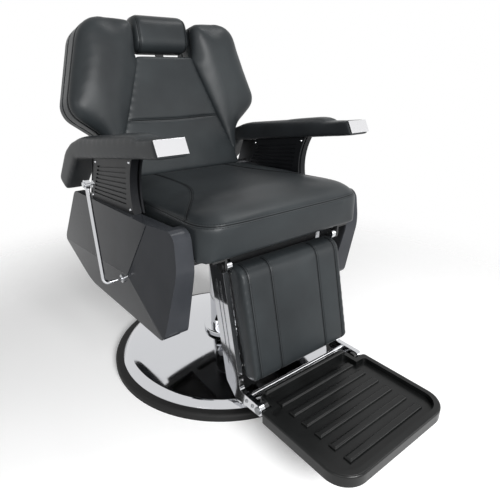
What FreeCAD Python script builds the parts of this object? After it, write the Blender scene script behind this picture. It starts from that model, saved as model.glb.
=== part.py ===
import FreeCAD, Part
import math
import os
from FreeCAD import Vector

# Hydraulic reclining barber chair, in millimetres.
# The origin is on the floor under the column, +Z is up and the sitter faces -Y.
# "Right" and "left" are the sitter's: the right side is at -X.

# Clearances
seat_gap = 0.3
running_gap = 0.05
cushion_gap = 1.0

# Heads of pins, bolts and screws, as shares of the shank or foot radius
head_share = 1.6
cone_share = 0.6

# Round base
base_radius = 355.0
edge_width = 24.0
edge_height = 20.0
edge_round = 9.0
plate_thickness = 10.0
dish_wall = 3.0
dish_rim_height = 22.0
dish_rise = 62.0
dish_bulge = 6.0
dish_neck_radius = 62.0
base_bolt_radius = 6.0
base_bolt_circle = 78.0
base_bolt_count = 6

# Hydraulic column
cylinder_radius = 48.0
cylinder_wall = 9.0
cylinder_height = 285.0
cylinder_foot_radius = 95.0
cylinder_foot_height = 8.0
collar_radius = 70.0
collar_height = 16.0
bush_height = 14.0
bush_lip = 5.0
piston_radius = 30.0
piston_depth = 205.0
piston_flange_radius = 46.0
piston_flange_height = 12.0
spigot_radius = 20.0
spigot_height = 48.0
lift_rest_gap = 3.0
bearing_height = 7.0

# Foot pump on the right front of the column
pump_angle = 225.0
pump_height = 118.0
pump_block_width = 44.0
pump_block_height = 34.0
pump_block_reach = 26.0
pump_block_round = 4.0
pedal_pin_radius = 7.0
pedal_hub_radius = 15.0
pedal_hub_width = 20.0
pedal_arm_radius = 8.0
pedal_length = 180.0
pedal_pad_radius = 13.0
pedal_pad_length = 95.0

# Seat frame and swivel hub
hub_radius = 38.0
mount_plate_size = 240.0
mount_plate_thickness = 8.0
mount_plate_round = 15.0
rail_width = 30.0
rail_height = 40.0
rail_spacing = 200.0
cross_tube_width = 30.0
cross_tube_wall = 3.0
cross_front_y = -175.0
cross_rear_y = 170.0

# Seat cushion
seat_bottom = 456.0
seat_half_width = 262.0
seat_front = -309.0
seat_front_foot = -292.0
seat_corner_y = -297.0
seat_corner_radius = 62.0
seat_rear = 205.0
seat_seam_height = 86.0
seat_crown = 30.0
seat_crown_inset = 34.0
seat_shoulder = 152.0
seat_notch_depth = 7.0
seat_notch_drop = 6.0
seat_rounding = [6, 22, 60, 18, 6]
seat_board_thickness = 12.0
seat_board_inset = 26.0

# Side plates and side panels
side_clearance = 10.0
side_plate_thickness = 6.0
side_plate_inset = 9.0
tongue_set_back = 10.0
tongue_root = 60.0
pivot_boss_radius = 21.0
panel_depth = 58.0
panel_wall = 5.0
panel_peak_y = -57.0
panel_peak_z = 374.0
rear_facet_slope = (-0.0265, -0.158)
lower_facet_slope = (0.0, 0.107)
front_facet_slope = (0.138, -0.062)
crease_half = 1.9
crease_depth = 2.0

# Arm supports, armrests and their end plates
arm_overhang = 20.0
arm_width = 74.0
cover_thickness = 5.0
outer_cover_thickness = 19.0
groove_count = 8
groove_width = 5.0
groove_depth = 3.2
groove_inset = 20.0
cover_screw_inset = 9.0
cover_screw_radius = 4.0
cover_screw_height = 2.5
arm_pad_rise = 9.0
arm_pad_length = 235.0
arm_pad_set_back = 35.0
arm_pad_inset = 7.0
end_plate_thickness = 3.0
end_plate_inset = 1.5

# Recline lever on the right side
lever_y = -20.0
lever_z = 352.0
lever_stand = 47.7
lever_radius = 5.0
lever_length = 243.0
lever_lean = 6.6
lever_bend = 14.0
lever_eye_radius = 11.0
lever_bolt_radius = 4.0
lever_bush_radius = 11.0
lever_bush_length = 14.0
lever_bush_stand = 2.0

# Backrest, drawn flat and then leaned back about its lower front edge
back_foot_y = 212.0
back_foot_z = 550.0
back_lean = 12.87
back_cushion_depth = 62.0
back_thickness = 105.0
back_foot_inset = 50.0
back_waist_flare = 9.0
back_waist_height = 126.0
back_waist_round = 70.0
wing_tip_flare = 106.0
wing_tip_height = 202.0
wing_tip_round = 55.0
wing_top_flare = 26.0
wing_top_height = 453.0
wing_top_round = 75.0
wing_inner_height = 445.0
wing_inner_round = 18.0
wing_forward_low = 8.0
wing_forward_top = 24.0
notch_half = 98.0
notch_bottom = 351.0
centre_top_half = 88.0
centre_mid_half = 150.0
centre_mid_height = 184.0
back_rear_round = 14.0
back_edge_round = 6.0
back_frame_thickness = 6.0
back_frame_width = 34.0
back_frame_half = 60.0
back_frame_height = 300.0
pivot_behind_front = 44.0
pivot_tube_radius = 14.0
recline_shaft_radius = 8.0
shaft_nut_radius = 13.0
shaft_nut_length = 9.0
shaft_nut_round = 2.5
spacer_radius = 12.0

# Headrest
headrest_half = 91.0
headrest_height = 106.0
headrest_depth = 86.0
headrest_forward = 10.0
headrest_round = 34.0
headrest_end_round = 20.0
headrest_bar_grip = 45.0
headrest_gap = 13.0
headrest_bar_width = 25.0
headrest_bar_depth = 8.0
headrest_bar_behind = 36.0
sleeve_wall = 3.0
sleeve_length = 130.0

# Leg rest
leg_pivot_y = -264.0
leg_pivot_z = 431.0
leg_pin_radius = 6.0
leg_eye_radius = 15.0
calf_bar_gap = 5.0
calf_bar_thickness = 14.0
calf_bar_depth = 56.0
calf_bar_top_y = -252.0
calf_bar_top_z = 440.0
calf_bar_foot_y = -320.0
calf_bar_foot_z = 116.0
calf_groove_width = 5.0
calf_groove_depth = 3.0
calf_groove_shares = (0.35, 0.62)
calf_bar_rounding = [6, 6, 20, 16, 0, 0, 8]
calf_foot_height = 28.0
calf_knee_y = -300.0
leg_ear_thickness = 6.0
leg_ear_gap = 1.5
leg_flange_width = 40.0
leg_apron_height = 58.0
leg_apron_inset = 6.0
calf_inset = 96.0
calf_pad_depth = 52.0
calf_pad_top = 427.0
calf_pad_bottom = 140.0
calf_pad_round = 34.0
calf_pad_top_y = -303.0
calf_pad_foot_y = -366.0
calf_board_thickness = 10.0
calf_rod_radius = 5.0
foot_rod_y = -345.0

# Footrest tray
tray_overhang = 5.0
tray_neck_inset = 15.0
tray_front = -668.0
tray_shoulder_gap = 1.5
tray_rear = -360.0
tray_top = 107.0
tray_thickness = 29.0
tray_rim = 16.0
tray_recess = 13.0
tray_corner_radius = 60.0
tray_shoulder_round = 10.0
tray_round = 5.0
tray_rib_count = 6
tray_rib_width = 20.0
tray_rib_height = 6.0
tray_rib_inset = 58.0
tray_rib_share = 0.9
tray_lip_height = 9.0
tray_lip_share = 0.75
foot_pivot_y = -391.0
foot_pivot_z = 96.0
foot_pin_radius = 6.0
foot_plate_thickness = 4.0
tray_ear_gap = 2.0
tray_ear_thickness = 10.0
bracket_screw_radius = 5.0
bracket_screw_height = 3.0
bracket_screw_shares = (0.3, 0.62)

# Side views as (y, z) corners, each with its own rounding
panel_outline = [(380, 500), (-244, 531), (-256, 440), (-205, 245), (288, 224), (466, 325)]
panel_rounding = [28, 28, 150, 35, 150, 24]
arm_outline = [(-231, 725), (285, 664), (352, 632), (458, 530),
               (400, 500), (262, 618), (-190, 679), (-250, 688)]
arm_rounding = [3, 90, 110, 14, 6, 18, 30, 4]
arm_edge_round = 3.0
post_front_top_y = -62.0
post_front_waist_y = -37.0
post_front_foot_y = -44.0
post_rear_top_y = 188.0
post_rear_foot_y = 240.0
post_strip_width = 66.0

x_axis = Vector(1, 0, 0)
y_axis = Vector(0, 1, 0)
z_axis = Vector(0, 0, 1)
origin = Vector(0, 0, 0)


def save(name, *solids):
    """Write one piece, or a group of like pieces, under its own name."""
    shape = solids[0] if len(solids) == 1 else Part.makeCompound(list(solids))
    shape.exportStep("parts/" + name + ".step")


def mirrored(shape):
    """The same piece on the other side of the chair."""
    return shape.mirror(origin, x_axis)


def save_pair(name, right_shape):
    """A piece on the sitter's right and its mirror on the left."""
    save(name + "_right", right_shape)
    save(name + "_left", mirrored(right_shape))


def box(x0, x1, y0, y1, z0, z1):
    return Part.makeBox(x1 - x0, y1 - y0, z1 - z0, Vector(x0, y0, z0))


def rod(start, direction, radius, length):
    return Part.makeCylinder(radius, length, start, direction)


def ring(inner, outer, z0, z1):
    """A plain ring about the column."""
    body = rod(Vector(0, 0, z0), z_axis, outer, z1 - z0)
    return body.cut(rod(Vector(0, 0, z0), z_axis, inner, z1 - z0))


def lathe(edges):
    """Turn a closed profile in the XZ plane about the column."""
    return Part.Face(Part.Wire(edges)).revolve(origin, z_axis, 360)


def line(a, b):
    return Part.LineSegment(a, b).toShape()


def arc(a, middle, b):
    return Part.Arc(a, middle, b).toShape()


def rounded_wire(points, radii):
    """A closed wire through the points, each corner rounded by its radius."""
    count = len(points)
    entries = []
    for i in range(count):
        corner = points[i]
        to_last = points[i - 1] - corner
        to_next = points[(i + 1) % count] - corner
        last_length = to_last.Length
        next_length = to_next.Length
        to_last.normalize()
        to_next.normalize()
        half_angle = to_last.getAngle(to_next) / 2
        trim = radii[i] / math.tan(half_angle)
        trim = min(trim, 0.49 * last_length, 0.49 * next_length)
        radius = trim * math.tan(half_angle)
        bisector = to_last + to_next
        if radius < 0.01:
            entries.append((corner, None, corner))
            continue
        bisector.normalize()
        reach = radius / math.sin(half_angle) - radius
        entries.append((corner + to_last * trim, corner + bisector * reach, corner + to_next * trim))
    edges = []
    for i in range(count):
        start, middle, end = entries[i]
        if middle is not None:
            edges.append(arc(start, middle, end))
        following = entries[(i + 1) % count][0]
        if (following - end).Length > 1e-6:
            edges.append(line(end, following))
    return Part.Wire(edges)


def prism_x(outline, x0, x1, radii=0.0):
    """Extrude an outline given as (y, z) points from x0 to x1."""
    points = [Vector(x0, y, z) for y, z in outline]
    if not isinstance(radii, (list, tuple)):
        radii = [radii] * len(points)
    return Part.Face(rounded_wire(points, radii)).extrude(Vector(x1 - x0, 0, 0))


def prism_y(outline, y0, y1, radii=0.0):
    """Extrude an outline given as (x, z) points from y0 to y1."""
    points = [Vector(x, y0, z) for x, z in outline]
    if not isinstance(radii, (list, tuple)):
        radii = [radii] * len(points)
    return Part.Face(rounded_wire(points, radii)).extrude(Vector(0, y1 - y0, 0))


def prism_z(outline, z0, z1, radii=0.0):
    """Extrude an outline given as (x, y) points from z0 to z1."""
    points = [Vector(x, y, z0) for x, y in outline]
    if not isinstance(radii, (list, tuple)):
        radii = [radii] * len(points)
    return Part.Face(rounded_wire(points, radii)).extrude(Vector(0, 0, z1 - z0))


def symmetric(right_points):
    """Complete a half outline with its mirror; points run from the bottom centre upwards."""
    return right_points + [(-x, v) for x, v in reversed(right_points)]


def soften(shape, radius, keep):
    """Round the edges for which keep(edge) is true."""
    return shape.makeFillet(radius, [edge for edge in shape.Edges if keep(edge)])


def along(start, end, share):
    """The point at a share of the way from start to end."""
    return tuple(a + (b - a) * share for a, b in zip(start, end))


os.makedirs("parts", exist_ok=True)

# Heights worked out from the base upwards
dish_foot = plate_thickness
dish_top = dish_foot + dish_rise
rim_radius = base_radius - edge_width - seat_gap
bore_radius = cylinder_radius - cylinder_wall
cylinder_top = plate_thickness + cylinder_height
flange_bottom = cylinder_top + bush_lip + lift_rest_gap
flange_top = flange_bottom + piston_flange_height
bearing_top = flange_top + bearing_height
frame_top = seat_bottom - seat_gap
frame_bottom = frame_top - rail_height
hub_bottom = bearing_top + seat_gap
hub_top = frame_bottom - mount_plate_thickness

# Widths worked out from the seat outwards
seat_notch_x = seat_half_width - seat_notch_depth
panel_front = min(y for y, z in panel_outline)
plate_inner_x = seat_half_width + side_clearance
plate_outer_x = plate_inner_x + side_plate_thickness
panel_inner_x = plate_outer_x + seat_gap
panel_peak_x = panel_inner_x + panel_depth
arm_inner_x = plate_inner_x - arm_overhang
arm_outer_x = arm_inner_x + arm_width
lever_x = -panel_peak_x - lever_stand
back_foot_half = plate_inner_x - back_foot_inset
back_waist_half = back_foot_half + back_waist_flare
wing_tip_half = back_foot_half + wing_tip_flare
wing_top_half = back_foot_half + wing_top_flare
calf_half_width = seat_half_width - calf_inset
calf_bar_inner_x = calf_half_width + calf_bar_gap
bar_outer_x = calf_bar_inner_x + calf_bar_thickness
tray_half_width = bar_outer_x + tray_overhang
tray_neck_half = calf_bar_inner_x - tray_neck_inset
tray_rib_half = tray_half_width - tray_rib_inset


def bolt_places():
    """Centres of the base bolts on their circle."""
    for i in range(base_bolt_count):
        angle = 2 * math.pi * i / base_bolt_count
        yield base_bolt_circle * math.cos(angle), base_bolt_circle * math.sin(angle)


def base_bolt(x, y, radius, depth):
    """A bolt shank, or the hole for it, down from the top of the column's foot."""
    top = plate_thickness + cylinder_foot_height
    return rod(Vector(x, y, top - depth), z_axis, radius, depth)


def make_base():
    """Steel floor plate, chromed dish, rubber edge and the bolts of the column."""
    bolt_depth = cylinder_foot_height + 0.7 * plate_thickness
    holes = [base_bolt(x, y, base_bolt_radius + running_gap, bolt_depth) for x, y in bolt_places()]
    plate = rod(origin, z_axis, rim_radius, plate_thickness)
    save("base_plate", plate.cut(holes))

    rim_foot = Vector(rim_radius, 0, dish_foot)
    rim_top = Vector(rim_radius, 0, dish_foot + dish_rim_height)
    neck = Vector(dish_neck_radius, 0, dish_top)
    crest = (rim_top + neck) * 0.5 + Vector(0, 0, dish_bulge)
    down = Vector(0, 0, -dish_wall)
    inside = Vector(-dish_wall, 0, 0)
    dish = lathe([
        line(rim_foot, rim_top),
        arc(rim_top, crest, neck),
        line(neck, neck + down),
        arc(neck + down, crest + down, rim_top + inside + down),
        line(rim_top + inside + down, rim_foot + inside),
        line(rim_foot + inside, rim_foot),
    ])
    save("base_dish", dish)

    edge = ring(base_radius - edge_width, base_radius, 0, edge_height)
    top_outer = [e for e in edge.Edges if len(e.Vertexes) == 1
                 and abs(e.Curve.Radius - base_radius) < 0.01 and e.CenterOfMass.z > edge_height / 2]
    save("rubber_edge", edge.makeFillet(edge_round, top_outer))

    bolts = []
    for x, y in bolt_places():
        head = rod(Vector(x, y, plate_thickness + cylinder_foot_height), z_axis,
                   head_share * base_bolt_radius, base_bolt_radius)
        bolts.append(base_bolt(x, y, base_bolt_radius, bolt_depth).fuse(head).removeSplitter())
    save("base_bolts", *bolts)


def make_column():
    """Pump cylinder with its foot, dish collar and guide bush."""
    foot_top = plate_thickness + cylinder_foot_height
    foot = rod(Vector(0, 0, plate_thickness), z_axis, cylinder_foot_radius, cylinder_foot_height)
    holes = [base_bolt(x, y, base_bolt_radius + running_gap, cylinder_foot_height)
             for x, y in bolt_places()]
    tube = ring(bore_radius, cylinder_radius, foot_top, cylinder_top)
    save("pump_cylinder", foot.cut(holes).fuse(tube).removeSplitter())

    collar = ring(cylinder_radius + seat_gap, collar_radius, dish_top + seat_gap, dish_top + collar_height)
    collar = soften(collar, collar_height / 3, lambda e: e.Length > 6.2 * collar_radius
                    and e.CenterOfMass.z > dish_top + collar_height / 2)
    save("column_collar", collar)

    sleeve = ring(piston_radius + running_gap, bore_radius - running_gap,
                  cylinder_top - bush_height, cylinder_top)
    lip = ring(piston_radius + running_gap, cylinder_radius, cylinder_top, cylinder_top + bush_lip)
    save("guide_bush", sleeve.fuse(lip).removeSplitter())


def make_lift():
    """Chromed lift piston with its head, top flange and swivel spigot, and the thrust bearing."""
    bottom = flange_bottom - piston_depth
    head_height = 0.6 * piston_radius
    piston = rod(Vector(0, 0, bottom), z_axis, piston_radius, piston_depth)
    head = rod(Vector(0, 0, bottom), z_axis, bore_radius - running_gap, head_height)
    flange = rod(Vector(0, 0, flange_bottom), z_axis, piston_flange_radius, piston_flange_height)
    spigot = rod(Vector(0, 0, flange_top), z_axis, spigot_radius, spigot_height)
    save("lift_piston", piston.fuse([head, flange, spigot]).removeSplitter())
    save("swivel_bearing", ring(spigot_radius + running_gap, piston_flange_radius, flange_top, bearing_top))


def make_pump():
    """Pump block on the cylinder, the pedal's pin, and the pedal with its rubber grips."""
    # Drawn with the block along +X and the pedal along +Y, then turned to its place.
    block_end = cylinder_radius + pump_block_reach
    half = pump_block_width / 2
    low = pump_height - pump_block_height / 2
    block = box(cylinder_radius - cylinder_wall, block_end, -half, half, low, low + pump_block_height)
    block = soften(block, pump_block_round, lambda e: e.BoundBox.XMin > block_end - 0.1)
    column = rod(Vector(0, 0, plate_thickness), z_axis, cylinder_radius, cylinder_height)
    hub_start = block_end + seat_gap
    hub_middle = hub_start + pedal_hub_width / 2
    pin_start = Vector(cylinder_radius + pump_block_reach / 3, 0, pump_height)
    pin_length = hub_start + pedal_hub_width - pin_start.x
    pin_hole = rod(pin_start, x_axis, pedal_pin_radius + running_gap, pin_length)
    pin_end = Vector(hub_start + pedal_hub_width + seat_gap, 0, pump_height)
    pin = rod(pin_start, x_axis, pedal_pin_radius, pin_length + seat_gap)
    pin_head = rod(pin_end, x_axis, head_share * pedal_pin_radius, pedal_pin_radius / 2)

    hub = rod(Vector(hub_start, 0, pump_height), x_axis, pedal_hub_radius, pedal_hub_width)
    arm = rod(Vector(hub_middle, 0, pump_height), y_axis, pedal_arm_radius, pedal_length)
    bar_half = pedal_pad_length / 2
    bar = rod(Vector(hub_middle - bar_half, pedal_length, pump_height), x_axis, pedal_arm_radius,
              pedal_pad_length)
    pedal = hub.fuse([arm, bar]).cut(pin_hole)
    clear = 1.5 * pedal_arm_radius
    grips = []
    for start, end in ((-bar_half, -clear), (clear, bar_half)):
        grip_start = Vector(hub_middle + start, pedal_length, pump_height)
        grip = rod(grip_start, x_axis, pedal_pad_radius, end - start)
        grips.append(grip.cut(rod(grip_start, x_axis, pedal_arm_radius, end - start)))
    pieces = [block.cut([pin_hole, column]), pin.fuse(pin_head).removeSplitter(), pedal.removeSplitter()]
    for shape in pieces + grips:
        shape.rotate(origin, z_axis, pump_angle)
    save("pump_block", pieces[0])
    save("pedal_pin", pieces[1])
    save("pump_pedal", pieces[2])
    save("pedal_grips", *grips)


def hollow_bar(x0, x1, y0, y1, z0, z1, open_axis):
    """A rectangular tube, open at its two ends."""
    wall = cross_tube_wall
    dx, dy = (0, wall) if open_axis == "x" else (wall, 0)
    core = box(x0 + dx, x1 - dx, y0 + dy, y1 - dy, z0 + wall, z1 - wall)
    return box(x0, x1, y0, y1, z0, z1).cut(core)


def make_seat_frame():
    """Swivel hub, mounting plate, rails and the cross tubes that carry the side plates."""
    hub = ring(spigot_radius + running_gap, hub_radius, hub_bottom, hub_top)
    save("seat_hub", hub)
    half = mount_plate_size / 2
    plate_outline = [(-half, -half), (half, -half), (half, half), (-half, half)]
    save("mount_plate", prism_z(plate_outline, hub_top, frame_bottom, mount_plate_round))
    tube_half = cross_tube_width / 2
    rails = []
    for side in (-1, 1):
        middle = side * rail_spacing / 2
        rails.append(hollow_bar(middle - rail_width / 2, middle + rail_width / 2,
                                cross_front_y + tube_half, cross_rear_y - tube_half,
                                frame_bottom, frame_top, "y"))
    save("seat_rails", *rails)
    for name, y in (("cross_tube_front", cross_front_y), ("cross_tube_rear", cross_rear_y)):
        save(name, hollow_bar(-plate_inner_x, plate_inner_x, y - tube_half, y + tube_half,
                              frame_bottom, frame_top, "x"))


def make_seat():
    """Seat cushion with a crowned top and bowed front, over its plywood board."""
    seam = seat_bottom + seat_seam_height
    crown = seam + seat_crown
    crown_y = seat_front + seat_crown_inset
    profile = [
        (seat_front_foot, seat_bottom), (seat_front, seam), (crown_y, crown),
        (seat_rear, crown - seat_crown_inset / 2), (seat_rear, seat_bottom),
    ]
    side_view = prism_x(profile, -seat_half_width, seat_half_width, seat_rounding)
    plan = [
        (-seat_shoulder, seat_front), (seat_shoulder, seat_front), (seat_half_width, seat_corner_y),
        (seat_half_width, seat_rear), (-seat_half_width, seat_rear), (-seat_half_width, seat_corner_y),
    ]
    corner = seat_corner_radius
    plan_radii = [4 * corner, 4 * corner, corner, corner / 2, corner / 2, corner]
    top_view = prism_z(plan, seat_bottom, crown + 1, plan_radii)
    cushion = side_view.common(top_view)
    # Behind its front corners the seat is set in, clear of the side panels
    for side in (-1, 1):
        x0, x1 = sorted((side * seat_notch_x, side * (seat_half_width + 1)))
        cushion = cushion.cut(box(x0, x1, panel_front - 2 * cushion_gap, seat_rear + 1,
                                  seat_bottom - 1, seam - seat_notch_drop))

    def board(grow):
        half = seat_half_width - seat_board_inset + grow
        return box(-half, half, seat_front_foot + seat_board_inset - grow, seat_rear - seat_board_inset + grow,
                   seat_bottom, seat_bottom + seat_board_thickness + grow)
    save("seat_cushion", cushion.cut(board(seat_gap)))
    save("seat_board", board(0.0))


make_base()
make_column()
make_lift()
make_pump()
make_seat_frame()
make_seat()

# Recline axis, in the chair's own frame
lean = math.radians(back_lean)
pivot_y = back_foot_y + pivot_behind_front * math.cos(lean)
pivot_z = back_foot_z - pivot_behind_front * math.sin(lean)


def height_on(points, first, second, y):
    """Height at y of the straight edge between two corners of an outline."""
    y0, z0 = points[first]
    y1, z1 = points[second]
    return z0 + (z1 - z0) * (y - y0) / (y1 - y0)


def arm_top(y):
    return height_on(arm_outline, 0, 1, y)


def arm_under(y):
    return height_on(arm_outline, 5, 6, y)


def panel_top(y):
    return height_on(panel_outline, 0, 1, y)


def panel_face(x, inset):
    """The side panel's outline at x, drawn in by an inset."""
    points = [Vector(x, y, z) for y, z in panel_outline]
    face = Part.Face(rounded_wire(points, panel_rounding))
    return face.makeOffset2D(-inset) if inset > 0 else face


def facet_cutters(depth):
    """Wedges outside the three facets that meet at the panel's peak, moved in by a depth."""
    far = 2000.0
    cutters = []
    for slope_y, slope_z in (rear_facet_slope, lower_facet_slope, front_facet_slope):
        corners = []
        for dy, dz in ((-far, -far), (far, -far), (far, far), (-far, far)):
            reach = panel_peak_x - depth + slope_y * dy + slope_z * dz
            corners.append(Vector(-reach, panel_peak_y + dy, panel_peak_z + dz))
        wedge = Part.Face(Part.makePolygon(corners + corners[:1]))
        cutters.append(wedge.extrude(Vector(-far, 0, 0)))
    return cutters


def make_side_panel():
    """Faceted plastic side panel, open towards the seat, and the bush for the lever."""
    outwards = Vector(-2 * panel_depth, 0, 0)
    shell = panel_face(-panel_inner_x, 0).extrude(outwards).cut(facet_cutters(0.0))
    pocket = panel_face(-panel_inner_x, panel_wall).extrude(outwards).cut(facet_cutters(panel_wall))
    core = panel_face(-panel_inner_x, 0).extrude(outwards).cut(facet_cutters(crease_depth))
    crease_lean = ((front_facet_slope[1] - rear_facet_slope[1])
                   / (front_facet_slope[0] - rear_facet_slope[0]))
    crease_top_z = panel_outline[1][1]
    crease_top_y = panel_peak_y - (crease_top_z - panel_peak_z) * crease_lean
    crease_foot = [(panel_peak_y - crease_half, panel_peak_z), (panel_peak_y + crease_half, panel_peak_z)]
    crease_head = [(crease_top_y + crease_half, crease_top_z), (crease_top_y - crease_half, crease_top_z)]
    crease = prism_x(crease_foot + crease_head, -panel_peak_x - 1, -panel_inner_x)
    # The front wall is returned inwards to the seat
    rim = panel_face(-panel_inner_x, 0).cut(panel_face(-panel_inner_x, panel_wall))
    return_x = seat_notch_x + 3 * cushion_gap
    return_end_y = panel_outline[3][0]
    front = rim.extrude(Vector(panel_inner_x - return_x, 0, 0)).common(
        box(-panel_inner_x, -return_x, panel_front, return_end_y, panel_outline[3][1], panel_outline[1][1]))
    panel = shell.cut(pocket).cut(crease.cut(core)).fuse(front).removeSplitter()
    save("side_panel_left", mirrored(panel))
    bush_start = Vector(-panel_peak_x - lever_bush_stand, lever_y, lever_z)
    hole = rod(bush_start, x_axis, lever_bush_radius + running_gap, lever_bush_length)
    save("side_panel_right", panel.cut(hole))
    bush = rod(bush_start, x_axis, lever_bush_radius, lever_bush_length)
    save("lever_bush", bush.cut(rod(bush_start, x_axis, lever_radius + running_gap, lever_bush_length)))


def post_face(x, set_back, rear_strip):
    """Side view of the arm support, with its hollowed front edge."""
    front_top = post_front_top_y + set_back
    front_foot = post_front_foot_y + set_back
    rear_top = post_rear_top_y + rear_strip
    rear_foot = post_rear_foot_y + rear_strip
    waist_z = (arm_under(front_top) + panel_top(front_foot)) / 2
    a = Vector(x, front_top, arm_under(front_top) - seat_gap)
    b = Vector(x, post_front_waist_y + set_back, waist_z)
    c = Vector(x, front_foot, panel_top(front_foot) + seat_gap)
    d = Vector(x, rear_foot, panel_top(rear_foot) + seat_gap)
    e = Vector(x, rear_top, arm_under(rear_top) - seat_gap)
    return Part.Face(Part.Wire([arc(a, b, c), line(c, d), line(d, e), line(e, a)]))


def make_side_plate():
    """Steel side plate with its tongue up to the armrest; it carries the back's pivot."""
    outwards = Vector(-side_plate_thickness, 0, 0)
    lower = panel_face(-plate_inner_x, side_plate_inset).extrude(outwards)
    tongue = post_face(-plate_inner_x, tongue_set_back, post_strip_width).extrude(outwards)
    root_top = panel_top(post_rear_foot_y) + side_plate_inset
    root = box(-plate_outer_x, -plate_inner_x, post_front_foot_y + tongue_set_back,
               post_rear_foot_y + post_strip_width / 2, root_top - tongue_root, root_top)
    pivot = Vector(-plate_outer_x, pivot_y, pivot_z)
    boss = rod(pivot, x_axis, pivot_boss_radius, side_plate_thickness)
    plate = lower.fuse([tongue, root, boss])
    shaft_hole = rod(pivot, x_axis, recline_shaft_radius + running_gap, side_plate_thickness)
    lever_hole = rod(Vector(-plate_outer_x, lever_y, lever_z), x_axis,
                     lever_radius + running_gap, side_plate_thickness)
    plate = plate.cut(shaft_hole).removeSplitter()
    save("side_plate_left", mirrored(plate))
    save("side_plate_right", plate.cut(lever_hole))


def post_corners(inset):
    """Corners of the arm support's cover, drawn in by an inset, and twice that behind its hollow front."""
    front_top = (post_front_top_y + 2 * inset, arm_under(post_front_top_y) - 1.3 * inset)
    front_foot = (post_front_foot_y + 2 * inset, panel_top(post_front_foot_y) + inset)
    rear_top = (post_rear_top_y - inset, arm_under(post_rear_top_y) - inset)
    rear_foot = (post_rear_foot_y - inset, panel_top(post_rear_foot_y) + inset)
    return front_top, front_foot, rear_top, rear_foot


def make_arm_covers():
    """Ribbed plastic covers on both faces of each arm support, with their screws."""
    screws = []
    for name, start_x, depth, towards_seat in (
            ("outer_rib_cover", -plate_outer_x, outer_cover_thickness, False),
            ("inner_rib_cover", -plate_inner_x, cover_thickness, True)):
        sign = 1 if towards_seat else -1
        show_x = start_x + sign * depth
        cover = post_face(start_x, 0.0, 0.0).extrude(Vector(sign * depth, 0, 0))
        front_top, front_foot, rear_top, rear_foot = post_corners(groove_inset)
        for i in range(groove_count):
            share = i / (groove_count - 1)
            y0, z0 = along(front_top, front_foot, share)
            y1, z1 = along(rear_top, rear_foot, share)
            half = groove_width / 2
            outline = [(y0, z0 - half), (y1, z1 - half), (y1, z1 + half), (y0, z0 + half)]
            cover = cover.cut(prism_x(outline, show_x - groove_depth, show_x + groove_depth))
        shank_length = min(depth, cover_thickness)
        for y, z in post_corners(cover_screw_inset):
            seat = Vector(show_x, y, z)
            inwards = Vector(-sign, 0, 0)
            cover = cover.cut(rod(seat, inwards, cover_screw_radius / 2 + running_gap, shank_length))
            head = Part.makeCone(cover_screw_radius, cone_share * cover_screw_radius, cover_screw_height,
                                 seat, Vector(sign, 0, 0))
            screw = head.fuse(rod(seat, inwards, cover_screw_radius / 2, shank_length))
            screws.extend([screw, mirrored(screw)])
        save_pair(name, cover)
    save("cover_screws", *screws)


def make_armrests():
    """Moulded armrests with a drop at the rear, soft top pads and polished end plates."""
    arm = prism_x(arm_outline, -arm_outer_x, -arm_inner_x, arm_rounding)
    side_edges = [e for e in arm.Edges if abs(e.BoundBox.XMax - e.BoundBox.XMin) < 0.01]
    save_pair("armrest", arm.makeFillet(arm_edge_round, side_edges))

    pad_start = arm_outline[0][0] + arm_pad_set_back
    pad_end = pad_start + arm_pad_length
    lift = Vector(0, 0, seat_gap)
    start = Vector(-arm_outer_x + arm_pad_inset, pad_start, arm_top(pad_start)) + lift
    end = Vector(-arm_outer_x + arm_pad_inset, pad_end, arm_top(pad_end)) + lift
    crest = (start + end) * 0.5 + Vector(0, 0, arm_pad_rise)
    pad = Part.Face(Part.Wire([line(start, end), arc(end, crest, start)]))
    save_pair("arm_pad", pad.extrude(Vector(arm_width - 2 * arm_pad_inset, 0, 0)))

    top = Vector(0, *arm_outline[0])
    foot = Vector(0, *arm_outline[7])
    down = foot - top
    down.normalize()
    forward = Vector(0, down.z, -down.y)
    near = forward * seat_gap
    far = forward * (seat_gap + end_plate_thickness)
    low = foot - down * (arm_rounding[7] + end_plate_inset)
    high = top + down * end_plate_inset
    outline = [(p.y, p.z) for p in (high + near, high + far, low + far, low + near)]
    plate = prism_x(outline, -arm_outer_x + end_plate_inset, -arm_inner_x - end_plate_inset)
    save_pair("arm_end_plate", plate)


def make_lever():
    """Bent chrome recline lever with an eye at its top, and the bolt through the eye."""
    corner = Vector(lever_x, lever_y, lever_z)
    tilt = math.radians(lever_lean)
    up = Vector(0, math.sin(tilt), math.cos(tilt))
    shaft_end = Vector(-plate_inner_x, lever_y, lever_z)
    bend_start = corner + x_axis * lever_bend
    bend_middle = corner + (x_axis + up) * (lever_bend * (1 - math.sqrt(0.5)))
    bend_end = corner + up * lever_bend
    path = Part.Wire([
        line(shaft_end, bend_start),
        arc(bend_start, bend_middle, bend_end),
        line(bend_end, corner + up * lever_length),
    ])
    profile = Part.Wire(Part.makeCircle(lever_radius, shaft_end, x_axis))
    eye_width = 2.2 * lever_radius
    eye_centre = corner + up * (lever_length + 0.7 * lever_eye_radius)
    eye_start = eye_centre - x_axis * (eye_width / 2)
    eye = rod(eye_start, x_axis, lever_eye_radius, eye_width)
    lever = path.makePipeShell([profile], True, True).fuse(eye)
    hole = rod(eye_start, x_axis, lever_bolt_radius + running_gap, eye_width)
    save("recline_lever", lever.cut(hole).removeSplitter())
    head_height = lever_bolt_radius
    bolt_length = eye_width + 3 * head_height
    bolt = rod(eye_start, x_axis, lever_bolt_radius, bolt_length)
    head = rod(eye_start, -x_axis, head_share * lever_bolt_radius, head_height)
    save("lever_bolt", bolt.fuse(head).removeSplitter())


make_side_panel()
make_side_plate()
make_arm_covers()
make_armrests()
make_lever()

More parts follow.
